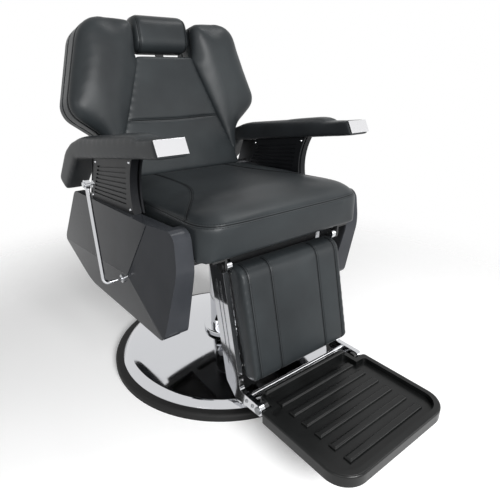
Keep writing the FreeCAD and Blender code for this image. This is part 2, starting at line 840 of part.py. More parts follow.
# Layers of the back, counted rearwards from its front face
frame_front = back_cushion_depth + seat_gap
board_front = frame_front + back_frame_thickness + seat_gap


def lean_back(shape):
    """Bring a piece of the back, drawn upright from its lower front edge, to its place."""
    shape.rotate(origin, x_axis, -back_lean)
    shape.translate(Vector(0, back_foot_y, back_foot_z))
    return shape


def make_back_cushions():
    """Centre cushion and the two forward-standing wings of the back."""
    centre = [(back_foot_half - cushion_gap, 0), (centre_mid_half, centre_mid_height),
              (centre_top_half, notch_bottom)]
    cushion = prism_y(symmetric(centre), 0, back_cushion_depth, back_edge_round)
    tube_room = pivot_tube_radius + 2 * cushion_gap
    cushion = cushion.cut(box(-back_foot_half, back_foot_half, pivot_behind_front - tube_room,
                              back_thickness, -1, 1.5 * tube_room))
    room_half = back_frame_half + back_frame_width / 2 + cushion_gap
    cushion = cushion.cut(box(-room_half, room_half, headrest_bar_behind - sleeve_wall - 2 * cushion_gap,
                              back_thickness, notch_bottom - sleeve_length - cushion_gap, notch_bottom + 1))
    save("back_cushion", lean_back(cushion))

    gap = cushion_gap
    wing_foot = tube_room
    seam_share = wing_foot / centre_mid_height
    seam_x = back_foot_half + (centre_mid_half - back_foot_half) * seam_share
    outline = [
        (seam_x + gap, wing_foot), (back_foot_half + gap, wing_foot), (back_waist_half, back_waist_height),
        (wing_tip_half, wing_tip_height), (wing_top_half, wing_top_height),
        (notch_half + 2, wing_inner_height), (notch_half, notch_bottom), (centre_top_half + gap, notch_bottom),
        (centre_mid_half + gap, centre_mid_height),
    ]
    rounding = [0, 2, back_waist_round, wing_tip_round, wing_top_round, wing_inner_round, 2, 0, 0]
    deep = board_front - seat_gap
    reach = wing_tip_half + 1
    block = prism_y(outline, -wing_forward_top, deep, rounding)
    front = [(0, 0), (-1, back_waist_height), (-wing_forward_low, wing_tip_height),
             (-wing_forward_top, wing_top_height), (deep, wing_top_height), (deep, 0)]
    wing = lean_back(block.common(prism_x(front, 0, reach)))
    save("back_wing_left", wing)
    save("back_wing_right", mirrored(wing))


def make_back_shell():
    """Rear shell of the back, its steel frame, recline shaft, nuts and spacers."""
    half_outline = [
        (back_foot_half, 0), (back_waist_half, back_waist_height), (wing_tip_half, wing_tip_height),
        (wing_top_half, wing_top_height), (notch_half + 2, wing_inner_height), (notch_half, notch_bottom),
    ]
    half_rounding = [10, back_waist_round, wing_tip_round, wing_top_round, wing_inner_round, 10]
    shell = prism_y(symmetric(half_outline), board_front, back_thickness, half_rounding + half_rounding[::-1])
    shell = soften(shell, back_rear_round, lambda e: e.BoundBox.YMin > back_thickness - 0.01)
    save("back_shell", lean_back(shell))

    axis_point = Vector(0, pivot_behind_front, 0)
    tube_start = axis_point - x_axis * back_foot_half
    tube = rod(tube_start, x_axis, pivot_tube_radius, 2 * back_foot_half)
    rear = frame_front + back_frame_thickness
    lug = pivot_tube_radius - 4
    upright_outline = [(pivot_behind_front, -lug), (rear, -lug), (rear, back_frame_height),
                       (frame_front, back_frame_height), (frame_front, 2 * lug), (pivot_behind_front, lug)]
    uprights = []
    for side in (-1, 1):
        middle = side * back_frame_half
        uprights.append(prism_x(upright_outline, middle - back_frame_width / 2, middle + back_frame_width / 2))
    frame = tube.fuse(uprights)
    frame = frame.cut(rod(tube_start, x_axis, recline_shaft_radius + running_gap, 2 * back_foot_half))
    save("back_frame", lean_back(frame.removeSplitter()))

    end_x = plate_outer_x + seat_gap
    shaft = rod(Vector(-end_x, pivot_y, pivot_z), x_axis, recline_shaft_radius, 2 * end_x)
    save("recline_shaft", shaft)
    spacers = []
    nuts = []
    spacer_start = back_foot_half + cushion_gap
    for side in (-1, 1):
        outwards = x_axis * side
        inner = Vector(side * spacer_start, pivot_y, pivot_z)
        length = plate_inner_x - seat_gap - spacer_start
        spacer = rod(inner, outwards, spacer_radius, length)
        spacers.append(spacer.cut(rod(inner, outwards, recline_shaft_radius + running_gap, length)))
        nut = rod(Vector(side * end_x, pivot_y, pivot_z), outwards, shaft_nut_radius, shaft_nut_length)
        far_x = end_x + shaft_nut_length
        nuts.append(soften(nut, shaft_nut_round, lambda e: abs(e.CenterOfMass.x) > far_x - 0.01))
    save("pivot_spacers", *spacers)
    save("shaft_nuts", *nuts)


def make_headrest():
    """Headrest bolster on a flat bar that slides in a sleeve on the back's frame."""
    low = notch_bottom + headrest_gap
    high = low + headrest_height
    front = -headrest_forward
    outline = [(front, low), (front, high), (front + headrest_depth, high), (front + headrest_depth, low)]
    bolster = prism_x(outline, -headrest_half, headrest_half, headrest_round)
    bolster = soften(bolster, headrest_end_round, lambda e: e.BoundBox.XMax - e.BoundBox.XMin < 0.01)
    half = headrest_bar_width / 2
    bar_rear = headrest_bar_behind + headrest_bar_depth
    bar_top = low + headrest_bar_grip
    sleeve_foot = notch_bottom - sleeve_length
    bar = box(-half, half, headrest_bar_behind, bar_rear, sleeve_foot + cushion_gap, bar_top)
    slack = running_gap
    pocket = box(-half - slack, half + slack, headrest_bar_behind - slack, bar_rear + slack,
                 low - 1, bar_top + slack)
    save("headrest_cushion", lean_back(bolster.cut(pocket)))
    save("headrest_bar", lean_back(bar))

    sleeve_top = notch_bottom - cushion_gap
    wall = sleeve_wall + slack
    sleeve = box(-half - wall, half + wall, headrest_bar_behind - wall, bar_rear + wall,
                 sleeve_foot, sleeve_top)
    plate_half = back_frame_half + back_frame_width / 2
    plate = box(-plate_half, plate_half, bar_rear + wall - sleeve_wall, frame_front, sleeve_foot,
                back_frame_height)
    bore = box(-half - slack, half + slack, headrest_bar_behind - slack, bar_rear + slack,
               sleeve_foot - 1, sleeve_top + 1)
    save("headrest_sleeve", lean_back(sleeve.fuse(plate).cut(bore).removeSplitter()))


make_back_cushions()
make_back_shell()
make_headrest()

# Leg rest and footrest places
ear_inner_x = bar_outer_x + leg_ear_gap
ear_outer_x = ear_inner_x + leg_ear_thickness
foot_low = foot_pivot_z - calf_foot_height / 2
foot_high = foot_pivot_z + calf_foot_height / 2
tray_bottom = tray_top - tray_thickness
tray_shoulder = foot_pivot_y - calf_foot_height / 2 - tray_shoulder_gap
foot_ear_inner_x = tray_neck_half + tray_ear_gap
foot_ear_outer_x = foot_ear_inner_x + tray_ear_thickness


def bar_front(z):
    """Front edge of the calf bars at a height."""
    share = (calf_bar_top_z - z) / (calf_bar_top_z - calf_bar_foot_z)
    return calf_bar_top_y + (calf_bar_foot_y - calf_bar_top_y) * share


def pad_rear(z):
    """Rear face of the calf pad at a height."""
    share = (calf_pad_top - z) / (calf_pad_top - calf_pad_bottom)
    return calf_pad_top_y + calf_pad_depth + (calf_pad_foot_y - calf_pad_top_y) * share


def make_leg_bracket():
    """Steel bracket under the seat front, with an apron between its ears, and the leg rest's pins."""
    radius = leg_eye_radius
    front = leg_pivot_y - radius
    rear = leg_pivot_y + 3 * radius
    ear_outline = [(front, leg_pivot_z), (front, frame_top), (rear, frame_top),
                   (leg_pivot_y + radius, leg_pivot_z)]
    ear = prism_x(ear_outline, -ear_outer_x, -ear_inner_x)
    eye = rod(Vector(-ear_outer_x, leg_pivot_y, leg_pivot_z), x_axis, radius, leg_ear_thickness)
    flange = box(-ear_inner_x - leg_flange_width, -ear_inner_x, front, rear,
                 frame_top - leg_ear_thickness, frame_top)
    hole = rod(Vector(-ear_outer_x, leg_pivot_y, leg_pivot_z), x_axis,
               leg_pin_radius + running_gap, leg_ear_thickness)
    right_ear = ear.fuse([eye, flange]).cut(hole)
    strip = box(-ear_inner_x, ear_inner_x, rear - leg_ear_thickness, rear,
                frame_top - leg_ear_thickness, frame_top)
    apron_half = calf_half_width - leg_apron_inset
    apron = box(-apron_half, apron_half, rear - leg_ear_thickness, rear,
                frame_top - leg_apron_height, frame_top)
    save("leg_bracket", right_ear.fuse([mirrored(right_ear), strip, apron]).removeSplitter())
    pin_start = Vector(-ear_outer_x, leg_pivot_y, leg_pivot_z)
    pin = rod(pin_start, x_axis, leg_pin_radius, ear_outer_x - calf_bar_inner_x)
    head = rod(pin_start, -x_axis, head_share * leg_pin_radius, cone_share * leg_pin_radius)
    pin = pin.fuse(head).removeSplitter()
    save("leg_hinge_pins", pin, mirrored(pin))


def bracket_screw_places():
    """Two screws along the foot of each calf bar."""
    for share in bracket_screw_shares:
        yield foot_pivot_y + (calf_bar_foot_y - foot_pivot_y) * share, foot_pivot_z


def make_calf_bars():
    """Chromed calf bars with their eyes, lengthwise grooves and forward feet, and the foot bolts."""
    depth = calf_bar_depth
    outline = [
        (calf_bar_top_y, calf_bar_top_z), (calf_bar_top_y + depth, calf_bar_top_z),
        (calf_bar_foot_y + depth, foot_high), (calf_knee_y, foot_low - 6),
        (foot_pivot_y, foot_low), (foot_pivot_y, foot_high), (bar_front(foot_high), foot_high),
    ]
    bar = prism_x(outline, -bar_outer_x, -calf_bar_inner_x, calf_bar_rounding)
    eye = rod(Vector(-bar_outer_x, leg_pivot_y, leg_pivot_z), x_axis, leg_eye_radius - 1, calf_bar_thickness)
    toe_start = Vector(-bar_outer_x, foot_pivot_y, foot_pivot_z)
    toe = rod(toe_start, x_axis, calf_foot_height / 2, calf_bar_thickness)
    bar = bar.fuse([eye, toe]).removeSplitter()
    groove_top = calf_bar_top_z - depth
    groove_foot = foot_high + depth
    for share in calf_groove_shares:
        half = calf_groove_width / 2
        top_y = bar_front(groove_top) + share * depth
        foot_y = bar_front(groove_foot) + share * depth
        strip = [(top_y - half, groove_top), (top_y + half, groove_top),
                 (foot_y + half, groove_foot), (foot_y - half, groove_foot)]
        bar = bar.cut(prism_x(strip, -bar_outer_x - 1, -bar_outer_x + calf_groove_depth))
    bar = bar.cut(rod(Vector(-bar_outer_x, leg_pivot_y, leg_pivot_z), x_axis,
                      leg_pin_radius + running_gap, calf_bar_thickness))
    bar = bar.cut(rod(toe_start, x_axis, foot_pin_radius + running_gap, calf_bar_thickness))
    screws = []
    for y, z in bracket_screw_places():
        seat = Vector(-bar_outer_x, y, z)
        shank_length = calf_bar_thickness / 2
        bar = bar.cut(rod(seat, x_axis, bracket_screw_radius / 2 + running_gap, shank_length))
        head = Part.makeCone(bracket_screw_radius, cone_share * bracket_screw_radius,
                             bracket_screw_height, seat, -x_axis)
        screws.append(head.fuse(rod(seat, x_axis, bracket_screw_radius / 2, shank_length)))
    save_pair("calf_bar", bar)
    pin = rod(toe_start, x_axis, foot_pin_radius, bar_outer_x - foot_ear_inner_x)
    head = rod(toe_start, -x_axis, head_share * foot_pin_radius, cone_share * foot_pin_radius)
    pin = pin.fuse(head).removeSplitter()
    bolts = screws + [pin]
    save("foot_bolts", *(bolts + [mirrored(bolt) for bolt in bolts]))


def make_calf_pad():
    """Calf pad on its board, and the rods that tie the bars together behind it and at their feet."""
    outline = [
        (calf_pad_top_y, calf_pad_top), (calf_pad_foot_y, calf_pad_bottom),
        (calf_pad_foot_y + calf_pad_depth, calf_pad_bottom), (calf_pad_top_y + calf_pad_depth, calf_pad_top),
    ]
    save("calf_cushion", prism_x(outline, -calf_half_width, calf_half_width,
                                 [calf_pad_round, 0.7 * calf_pad_round, 4, 4]))
    high = calf_pad_top - 2 * calf_board_thickness
    low = calf_pad_bottom + calf_board_thickness
    near = seat_gap
    far = seat_gap + calf_board_thickness
    board = [(pad_rear(high) + near, high), (pad_rear(low) + near, low),
             (pad_rear(low) + far, low), (pad_rear(high) + far, high)]
    board_half = calf_half_width - 4
    save("calf_board", prism_x(board, -board_half, board_half))
    top_z = high - 2 * calf_rod_radius
    low_z = low + 2 * calf_rod_radius
    behind = far + calf_rod_radius + seat_gap
    rods = []
    for y, z in ((pad_rear(top_z) + behind, top_z), (pad_rear(low_z) + behind, low_z),
                 (foot_rod_y, foot_high - 1.2 * calf_rod_radius)):
        rods.append(rod(Vector(-calf_bar_inner_x, y, z), x_axis, calf_rod_radius, 2 * calf_bar_inner_x))
    save("calf_rods", *rods)


def make_footrest():
    """Ribbed footrest tray on a steel plate whose ears turn on the foot pins."""
    neck = tray_neck_half
    half = tray_half_width
    outline = [(-neck, tray_rear), (neck, tray_rear), (neck, tray_shoulder), (half, tray_shoulder),
               (half, tray_front), (-half, tray_front), (-half, tray_shoulder), (-neck, tray_shoulder)]
    corner = tray_corner_radius
    bend = tray_shoulder_round
    rounding = [bend, bend, 0, bend, corner, corner, bend, 0]
    tray = prism_z(outline, tray_bottom, tray_top, rounding)
    tray = soften(tray, tray_round, lambda e: e.BoundBox.ZMin > tray_top - 0.01)
    rim_half = half - tray_rim
    rim_rear = tray_rear - tray_rim
    rim_front = tray_front + tray_rim
    rim_neck = neck - tray_rim
    rim_shoulder = tray_shoulder - tray_rim
    floor_outline = [(-rim_neck, rim_rear), (rim_neck, rim_rear), (rim_neck, rim_shoulder),
                     (rim_half, rim_shoulder), (rim_half, rim_front), (-rim_half, rim_front),
                     (-rim_half, rim_shoulder), (-rim_neck, rim_shoulder)]
    floor_corner = corner - tray_rim
    floor_rounding = [bend, bend, 0, bend, floor_corner, floor_corner, bend, 0]
    floor_z = tray_top - tray_recess
    tray = tray.cut(prism_z(floor_outline, floor_z, tray_top + 1, floor_rounding))
    rib_pitch = (rim_rear - rim_front) / (tray_rib_count + 0.6)
    rib_round = tray_rib_share * tray_rib_height
    for i in range(tray_rib_count):
        y = rim_rear - rib_pitch * (i + 0.8)
        rib_top = floor_z + tray_rib_height
        rib = box(-tray_rib_half, tray_rib_half, y - tray_rib_width / 2, y + tray_rib_width / 2,
                  floor_z - 1, rib_top)
        tray = tray.fuse(soften(rib, rib_round, lambda e: e.BoundBox.ZMin > rib_top - 0.01))
    lip_top = tray_top + tray_lip_height
    lip = box(bend - neck, neck - bend, rim_rear, tray_rear, floor_z - 1, lip_top)
    lip = soften(lip, tray_lip_share * tray_lip_height, lambda e: e.BoundBox.ZMin > lip_top - 0.01)
    save("footrest_tray", tray.fuse(lip).removeSplitter())

    plate_top = tray_bottom - seat_gap
    plate_low = plate_top - foot_plate_thickness
    ear_half = calf_foot_height / 2 - 1
    plate_half = half - 1.5 * tray_rim
    plate = box(-plate_half, plate_half, tray_front + 2 * tray_rim, tray_shoulder - 1, plate_low, plate_top)
    bridge = box(-foot_ear_outer_x, foot_ear_outer_x, tray_shoulder - 1, foot_pivot_y + ear_half,
                 plate_low, plate_top)
    plate = plate.fuse(bridge)
    for side in (-1, 1):
        inner = Vector(side * foot_ear_inner_x, foot_pivot_y, foot_pivot_z)
        outwards = x_axis * side
        eye = rod(inner, outwards, ear_half, tray_ear_thickness)
        x0, x1 = sorted((side * foot_ear_inner_x, side * foot_ear_outer_x))
        stem = box(x0, x1, foot_pivot_y - ear_half, foot_pivot_y + ear_half, plate_low, foot_pivot_z)
        hole = rod(inner, outwards, foot_pin_radius + running_gap, tray_ear_thickness)
        plate = plate.fuse([eye, stem]).cut(hole)
    save("footrest_plate", plate.removeSplitter())


make_leg_bracket()
make_calf_bars()
make_calf_pad()
make_footrest()
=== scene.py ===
import math

import bmesh
import bpy
import numpy as np
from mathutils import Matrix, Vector
from mathutils.bvhtree import BVHTree
from mathutils.kdtree import KDTree


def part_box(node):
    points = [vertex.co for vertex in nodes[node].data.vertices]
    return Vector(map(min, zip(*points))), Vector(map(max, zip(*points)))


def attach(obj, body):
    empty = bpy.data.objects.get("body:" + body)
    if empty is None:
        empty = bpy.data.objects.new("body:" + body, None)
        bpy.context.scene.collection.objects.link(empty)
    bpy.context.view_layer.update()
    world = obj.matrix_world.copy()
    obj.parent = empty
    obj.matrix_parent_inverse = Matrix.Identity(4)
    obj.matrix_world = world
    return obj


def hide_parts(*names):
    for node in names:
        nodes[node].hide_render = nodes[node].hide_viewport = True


# Looks of a hydraulic barber chair, in metres. The sitter faces -Y and their right hand is at -X.

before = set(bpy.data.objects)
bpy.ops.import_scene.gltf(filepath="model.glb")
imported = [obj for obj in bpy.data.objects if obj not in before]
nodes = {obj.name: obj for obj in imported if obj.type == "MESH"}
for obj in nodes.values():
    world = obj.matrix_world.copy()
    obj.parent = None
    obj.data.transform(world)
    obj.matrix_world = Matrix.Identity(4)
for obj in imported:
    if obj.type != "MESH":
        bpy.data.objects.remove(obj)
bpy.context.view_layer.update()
scene = bpy.context.scene

mm = 0.001

# Seams and stitches
seam_step = 2.5 * mm
cord_radius = 0.9 * mm
cord_lift = 0.2 * mm
stitch_length = 4.2 * mm
stitch_pitch = 6.5 * mm
stitch_radius = 0.45 * mm
stitch_offset = 4.5 * mm
stitch_lift = 0.1 * mm

# The back leans about its lower front edge: v runs up along it and w to the rear
lean = math.radians(12.87)
back_foot = np.array([0.0, 0.212, 0.550])
back_up = np.array([0.0, math.sin(lean), math.cos(lean)])
back_rear = np.array([0.0, math.cos(lean), -math.sin(lean)])


def to_back(points):
    """World points as (x, v, w) of the back."""
    moved = points - back_foot
    return np.column_stack([moved[:, 0], moved @ back_up, moved @ back_rear])


def from_back(local):
    """Points (x, v, w) of the back in the world."""
    local = np.asarray(local, float)
    flat = np.zeros((len(local), 3))
    flat[:, 0] = local[:, 0]
    return back_foot + flat + local[:, 1:2] * back_up + local[:, 2:3] * back_rear


# Node helper and materials

def srgb(code):
    """A hex colour as linear red, green, blue and alpha."""
    channels = [int(code[i:i + 2], 16) / 255 for i in (1, 3, 5)]
    return [c / 12.92 if c <= 0.04045 else ((c + 0.055) / 1.055) ** 2.4 for c in channels] + [1.0]


def add(tree, kind, sockets=None, **settings):
    """One node with its settings; a socket given another node's output is linked to it."""
    node = tree.nodes.new(kind)
    for name, value in settings.items():
        setattr(node, name, value)
    for key, value in (sockets or {}).items():
        if isinstance(value, bpy.types.NodeSocket):
            tree.links.new(value, node.inputs[key])
        else:
            node.inputs[key].default_value = value
    return node


def start_material(name, **sockets):
    """A new material, its tree and its shader with the plain values set."""
    made = bpy.data.materials.new(name)
    made.use_nodes = True
    shader = made.node_tree.nodes["Principled BSDF"]
    for key, value in sockets.items():
        shader.inputs[key.replace("_", " ")].default_value = value
    return made, made.node_tree, shader


def weathered(tree, shader, patches, colours, gloss):
    """Lets a slow pattern vary a surface between two hex colours and two roughnesses."""
    share = add(tree, "ShaderNodeMapRange", {"Value": patches, "From Min": 0.3, "From Max": 0.7})
    tone = add(tree, "ShaderNodeMix", {0: share.outputs["Result"], 6: srgb(colours[0]), 7: srgb(colours[1])},
               data_type="RGBA")
    rough = add(tree, "ShaderNodeMapRange", {"Value": patches, "To Min": gloss[0], "To Max": gloss[1]})
    tree.links.new(tone.outputs[2], shader.inputs["Base Color"])
    tree.links.new(rough.outputs["Result"], shader.inputs["Roughness"])


def black_vinyl():
    """Soft PVC leathercloth, embossed while hot: a pebble grain, faint creases and an even low gloss."""
    made, tree, shader = start_material("black_vinyl_leathercloth", IOR=1.5, Specular_IOR_Level=0.2)
    place = add(tree, "ShaderNodeTexCoord").outputs["Object"]
    # Pebbles of about 1.2 mm, drawn at 1.8 mm so that they show
    pebble = add(tree, "ShaderNodeTexVoronoi", {"Vector": place, "Scale": 1 / (1.8 * mm)},
                 feature="DISTANCE_TO_EDGE")
    crease = add(tree, "ShaderNodeTexNoise", {"Vector": place, "Scale": 1 / (14 * mm), "Detail": 4.0})
    handling = add(tree, "ShaderNodeTexNoise", {"Vector": place, "Scale": 1 / (130 * mm), "Detail": 3.0})
    weathered(tree, shader, handling.outputs["Fac"], colours=("#212426", "#2b2f31"), gloss=(0.33, 0.46))
    large = add(tree, "ShaderNodeBump", {"Height": crease.outputs["Fac"], "Distance": 0.5 * mm,
                                         "Strength": 0.22})
    fine = add(tree, "ShaderNodeBump", {"Height": pebble.outputs["Distance"], "Distance": 0.25 * mm,
                                        "Strength": 0.35, "Normal": large.outputs["Normal"]})
    tree.links.new(fine.outputs["Normal"], shader.inputs["Normal"])
    return made


def moulded(name, colours, gloss, grain_mm, shine):
    """Moulded plastic or rubber: even colour, the tool's grain (width and depth) and rubbed patches."""
    made, tree, shader = start_material(name, IOR=1.5, Specular_IOR_Level=shine)
    place = add(tree, "ShaderNodeTexCoord").outputs["Object"]
    width, depth = grain_mm
    grain = add(tree, "ShaderNodeTexNoise", {"Vector": place, "Scale": 1 / (width * mm), "Detail": 2.0})
    rubbed = add(tree, "ShaderNodeTexNoise", {"Vector": place, "Scale": 1 / (90 * mm), "Detail": 4.0})
    weathered(tree, shader, rubbed.outputs["Fac"], colours, gloss)
    bump = add(tree, "ShaderNodeBump", {"Height": grain.outputs["Fac"], "Distance": depth * mm,
                                        "Strength": 0.3})
    tree.links.new(bump.outputs["Normal"], shader.inputs["Normal"])
    return made


def plated(name, colour, gloss, smear_mm):
    """Bright metal: mirror-like, with faint wiped smears that only change its gloss."""
    made, tree, shader = start_material(name, Metallic=1.0, Base_Color=srgb(colour))
    place = add(tree, "ShaderNodeTexCoord").outputs["Object"]
    smear = add(tree, "ShaderNodeTexNoise", {"Vector": place, "Scale": 1 / (smear_mm * mm), "Detail": 5.0})
    rough = add(tree, "ShaderNodeMapRange", {"Value": smear.outputs["Fac"], "To Min": gloss[0],
                                             "To Max": gloss[1]})
    tree.links.new(rough.outputs["Result"], shader.inputs["Roughness"])
    return made


def brushed(name, colour, gloss, stretch):
    """Metal with a lengthwise brushed or polished line, drawn 0.6 mm wide so that it shows."""
    made, tree, shader = start_material(name, Metallic=1.0, Base_Color=srgb(colour))
    place = add(tree, "ShaderNodeTexCoord").outputs["Object"]
    turned = add(tree, "ShaderNodeMapping", {"Vector": place, "Scale": stretch})
    line = add(tree, "ShaderNodeTexNoise", {"Vector": turned.outputs["Vector"], "Scale": 1 / (0.6 * mm),
                                            "Detail": 2.0})
    rough = add(tree, "ShaderNodeMapRange", {"Value": line.outputs["Fac"], "To Min": gloss[0],
                                             "To Max": gloss[1]})
    tree.links.new(rough.outputs["Result"], shader.inputs["Roughness"])
    bump = add(tree, "ShaderNodeBump", {"Height": line.outputs["Fac"], "Distance": 0.05 * mm,
                                        "Strength": 0.25})
    tree.links.new(bump.outputs["Normal"], shader.inputs["Normal"])
    return made


def powder_coat():
    """Baked black powder coat on steel: satin, with a fine orange peel."""
    made, tree, shader = start_material("black_powder_coat", IOR=1.5)
    place = add(tree, "ShaderNodeTexCoord").outputs["Object"]
    peel = add(tree, "ShaderNodeTexNoise", {"Vector": place, "Scale": 1 / (2.5 * mm), "Detail": 1.0})
    dust = add(tree, "ShaderNodeTexNoise", {"Vector": place, "Scale": 1 / (60 * mm), "Detail": 3.0})
    weathered(tree, shader, dust.outputs["Fac"], colours=("#121213", "#191a1b"), gloss=(0.32, 0.46))
    bump = add(tree, "ShaderNodeBump", {"Height": peel.outputs["Fac"], "Distance": 0.12 * mm,
                                        "Strength": 0.3})
    tree.links.new(bump.outputs["Normal"], shader.inputs["Normal"])
    return made


def plywood():
    """Plywood stained black: dull, with its long grain along X still showing."""
    made, tree, shader = start_material("black_stained_plywood", IOR=1.5)
    place = add(tree, "ShaderNodeTexCoord").outputs["Object"]
    turned = add(tree, "ShaderNodeMapping", {"Vector": place, "Scale": (0.06, 1.0, 1.0)})
    grain = add(tree, "ShaderNodeTexNoise", {"Vector": turned.outputs["Vector"], "Scale": 1 / (3 * mm),
                                             "Detail": 5.0})
    weathered(tree, shader, grain.outputs["Fac"], colours=("#131211", "#22201d"), gloss=(0.62, 0.62))
    return made


vinyl = black_vinyl()
# Foam moulded with its own skin against a grained tool: soft and dull
arm_skin = moulded("integral_skin_polyurethane", ("#1e2022", "#272a2c"),
                   gloss=(0.38, 0.52), grain_mm=(1.2, 0.25), shine=0.2)
# Moulded against a polished tool: smooth, so that each facet mirrors the room faintly
panel_abs = moulded("glossy_black_abs", ("#34363a", "#3b3d41"),
                    gloss=(0.12, 0.20), grain_mm=(0.9, 0.03), shine=0.08)
# Moulded against an etched tool: darker and duller, with a fine grain
cover_abs = moulded("grained_black_abs", ("#121315", "#191a1c"),
                    gloss=(0.30, 0.42), grain_mm=(0.9, 0.10), shine=0.12)
# A waxy plastic with a coarser grain, rubbed bright in patches
tray_plastic = moulded("black_polypropylene", ("#0b0c0c", "#131414"),
                       gloss=(0.22, 0.38), grain_mm=(1.4, 0.15), shine=0.25)
# Pressed rubber: dull and slightly uneven
rubber = moulded("black_moulded_rubber", ("#121212", "#1a1a1a"),
                 gloss=(0.58, 0.74), grain_mm=(1.0, 0.20), shine=0.25)
# Bonded polyester thread, nearly black: partly the thread's own colour and partly painted shade, darker than
# the vinyl so that cords and stitches draw the seams' grooves as dark lines
seam_shade_thread = moulded("black_thread_and_painted_seam_shade", ("#0b0b0c", "#151516"),
                 gloss=(0.5, 0.6), grain_mm=(0.4, 0.1), shine=0.05)
# Plate over polished steel: mirrors the room
chrome = plated("mirror_chrome", "#cacbce", gloss=(0.035, 0.11), smear_mm=45.0)
# Fasteners: a soft silver sheen, and a darker grey one
bright_steel = plated("zinc_plated_steel", "#b9babd", gloss=(0.22, 0.36), smear_mm=12.0)
dull_steel = plated("phosphated_steel", "#7f8183", gloss=(0.30, 0.45), smear_mm=12.0)
# Turned, rolled and polished metals: fine lines that draw the highlight out
bronze = brushed("turned_bronze", "#5b4a36", gloss=(0.22, 0.35), stretch=(1.0, 1.0, 0.05))
strip_steel = brushed("blued_strip_steel", "#2b2c2e", gloss=(0.30, 0.42), stretch=(1.0, 1.0, 0.04))
end_metal = brushed("polished_aluminium", "#e4e4e6", gloss=(0.16, 0.26), stretch=(0.05, 1.0, 1.0))
frame_paint = powder_coat()
board_wood = plywood()

finishes = {
    "base_plate": frame_paint, "base_dish": chrome, "rubber_edge": rubber, "base_bolts": bright_steel,
    "pump_cylinder": chrome, "column_collar": chrome, "guide_bush": bronze, "pump_block": chrome,
    "pedal_pin": bright_steel, "pump_pedal": chrome, "pedal_grips": rubber, "lift_piston": chrome,
    "swivel_bearing": bright_steel, "seat_hub": frame_paint, "mount_plate": frame_paint,
    "seat_rails": frame_paint, "cross_tube_front": frame_paint, "cross_tube_rear": frame_paint,
    "seat_board": board_wood, "side_panel_right": panel_abs, "side_panel_left": panel_abs,
    "lever_bush": bright_steel, "side_plate_right": strip_steel, "side_plate_left": strip_steel,
    "outer_rib_cover_right": cover_abs, "outer_rib_cover_left": cover_abs,
    "inner_rib_cover_right": cover_abs, "inner_rib_cover_left": cover_abs, "cover_screws": bright_steel,
    "arm_end_plate_right": end_metal, "arm_end_plate_left": end_metal, "leg_bracket": frame_paint,
    "leg_hinge_pins": frame_paint, "recline_lever": chrome, "lever_bolt": chrome, "back_shell": vinyl,
    "back_frame": frame_paint, "recline_shaft": bright_steel, "pivot_spacers": bright_steel,
    "shaft_nuts": chrome, "headrest_sleeve": frame_paint, "headrest_bar": frame_paint,
    "calf_bar_right": chrome, "calf_bar_left": chrome, "calf_rods": chrome, "foot_bolts": dull_steel,
    "calf_board": frame_paint, "footrest_tray": tray_plastic, "footrest_plate": frame_paint,
}


def dress(piece, finish):
    """Gives a piece one material in place of any others."""
    piece.data.materials.clear()
    piece.data.materials.append(finish)


for name, finish in finishes.items():
    dress(nodes[name], finish)


# Mesh helpers

def new_object(name, data):
    """A new object in the scene, with a mesh, curve, lamp or camera."""
    made = bpy.data.objects.new(name, data)
    scene.collection.objects.link(made)
    return made


def baked(piece):
    """Applies a piece's modifiers to its mesh."""
    depsgraph = bpy.context.evaluated_depsgraph_get()
    mesh = bpy.data.meshes.new_from_object(piece.evaluated_get(depsgraph))
    piece.modifiers.clear()
    piece.data = mesh
    return piece


def points_of(mesh):
    """A mesh's points, one row for each."""
    flat = np.empty(len(mesh.vertices) * 3)
    mesh.vertices.foreach_get("co", flat)
    return flat.reshape(-1, 3)


def set_points(mesh, points):
    """Moves a mesh's points."""
    mesh.vertices.foreach_set("co", np.ascontiguousarray(points).ravel())
    mesh.update()


def normals_of(mesh):
    """The normals at a mesh's points."""
    flat = np.empty(len(mesh.vertices) * 3)
    mesh.vertex_normals.foreach_get("vector", flat)
    return flat.reshape(-1, 3)


def edges_of(mesh):
    """The two points of each of a mesh's edges."""
    flat = np.empty(len(mesh.edges) * 2, int)
    mesh.edges.foreach_get("vertices", flat)
    return flat.reshape(-1, 2)


def copy_of(name, node):
    """A new piece with the welded mesh of a CAD node."""
    mesh = nodes[node].data.copy()
    shape = bmesh.new()
    shape.from_mesh(mesh)
    bmesh.ops.remove_doubles(shape, verts=shape.verts, dist=0.01 * mm)
    shape.to_mesh(mesh)
    shape.free()
    return new_object(name, mesh)


def mirrored_copy(name, piece):
    """The same piece on the other side of the chair."""
    mesh = piece.data.copy()
    points = points_of(mesh)
    points[:, 0] *= -1
    set_points(mesh, points)
    mesh.flip_normals()
    mesh.shade_smooth()
    return new_object(name, mesh)


def smoothstep(value):
    """An even step from 0 to 1."""
    value = np.clip(value, 0, 1)
    return value * value * (3 - 2 * value)


def path_distance(flat, path):
    """Distance in a plane from each point to a path of straight runs."""
    best = np.full(len(flat), np.inf)
    for start, end in zip(path[:-1], path[1:]):
        run = end - start
        share = np.clip((flat - start) @ run / (run @ run), 0, 1)
        best = np.minimum(best, np.linalg.norm(flat - start - share[:, None] * run, axis=1))
    return best


def outward_of(path, middle):
    """Unit directions square to a flat path, away from a middle."""
    run = np.gradient(path, axis=0)
    square = np.column_stack([run[:, 1], -run[:, 0]])
    square /= np.linalg.norm(square, axis=1)[:, None]
    return square * np.sign(np.sum((path - middle) * square, axis=1))[:, None]


def spread_along(path):
    """Points spread evenly along a path of straight runs, a seam step apart."""
    path = np.asarray(path, float)
    lengths = np.linalg.norm(np.diff(path, axis=0), axis=1)
    places = np.concatenate([[0], np.cumsum(lengths)])
    count = max(2, int(round(places[-1] / seam_step)) + 1)
    wanted = np.linspace(0, places[-1], count)
    return np.column_stack([np.interp(wanted, places, path[:, k]) for k in range(path.shape[1])])


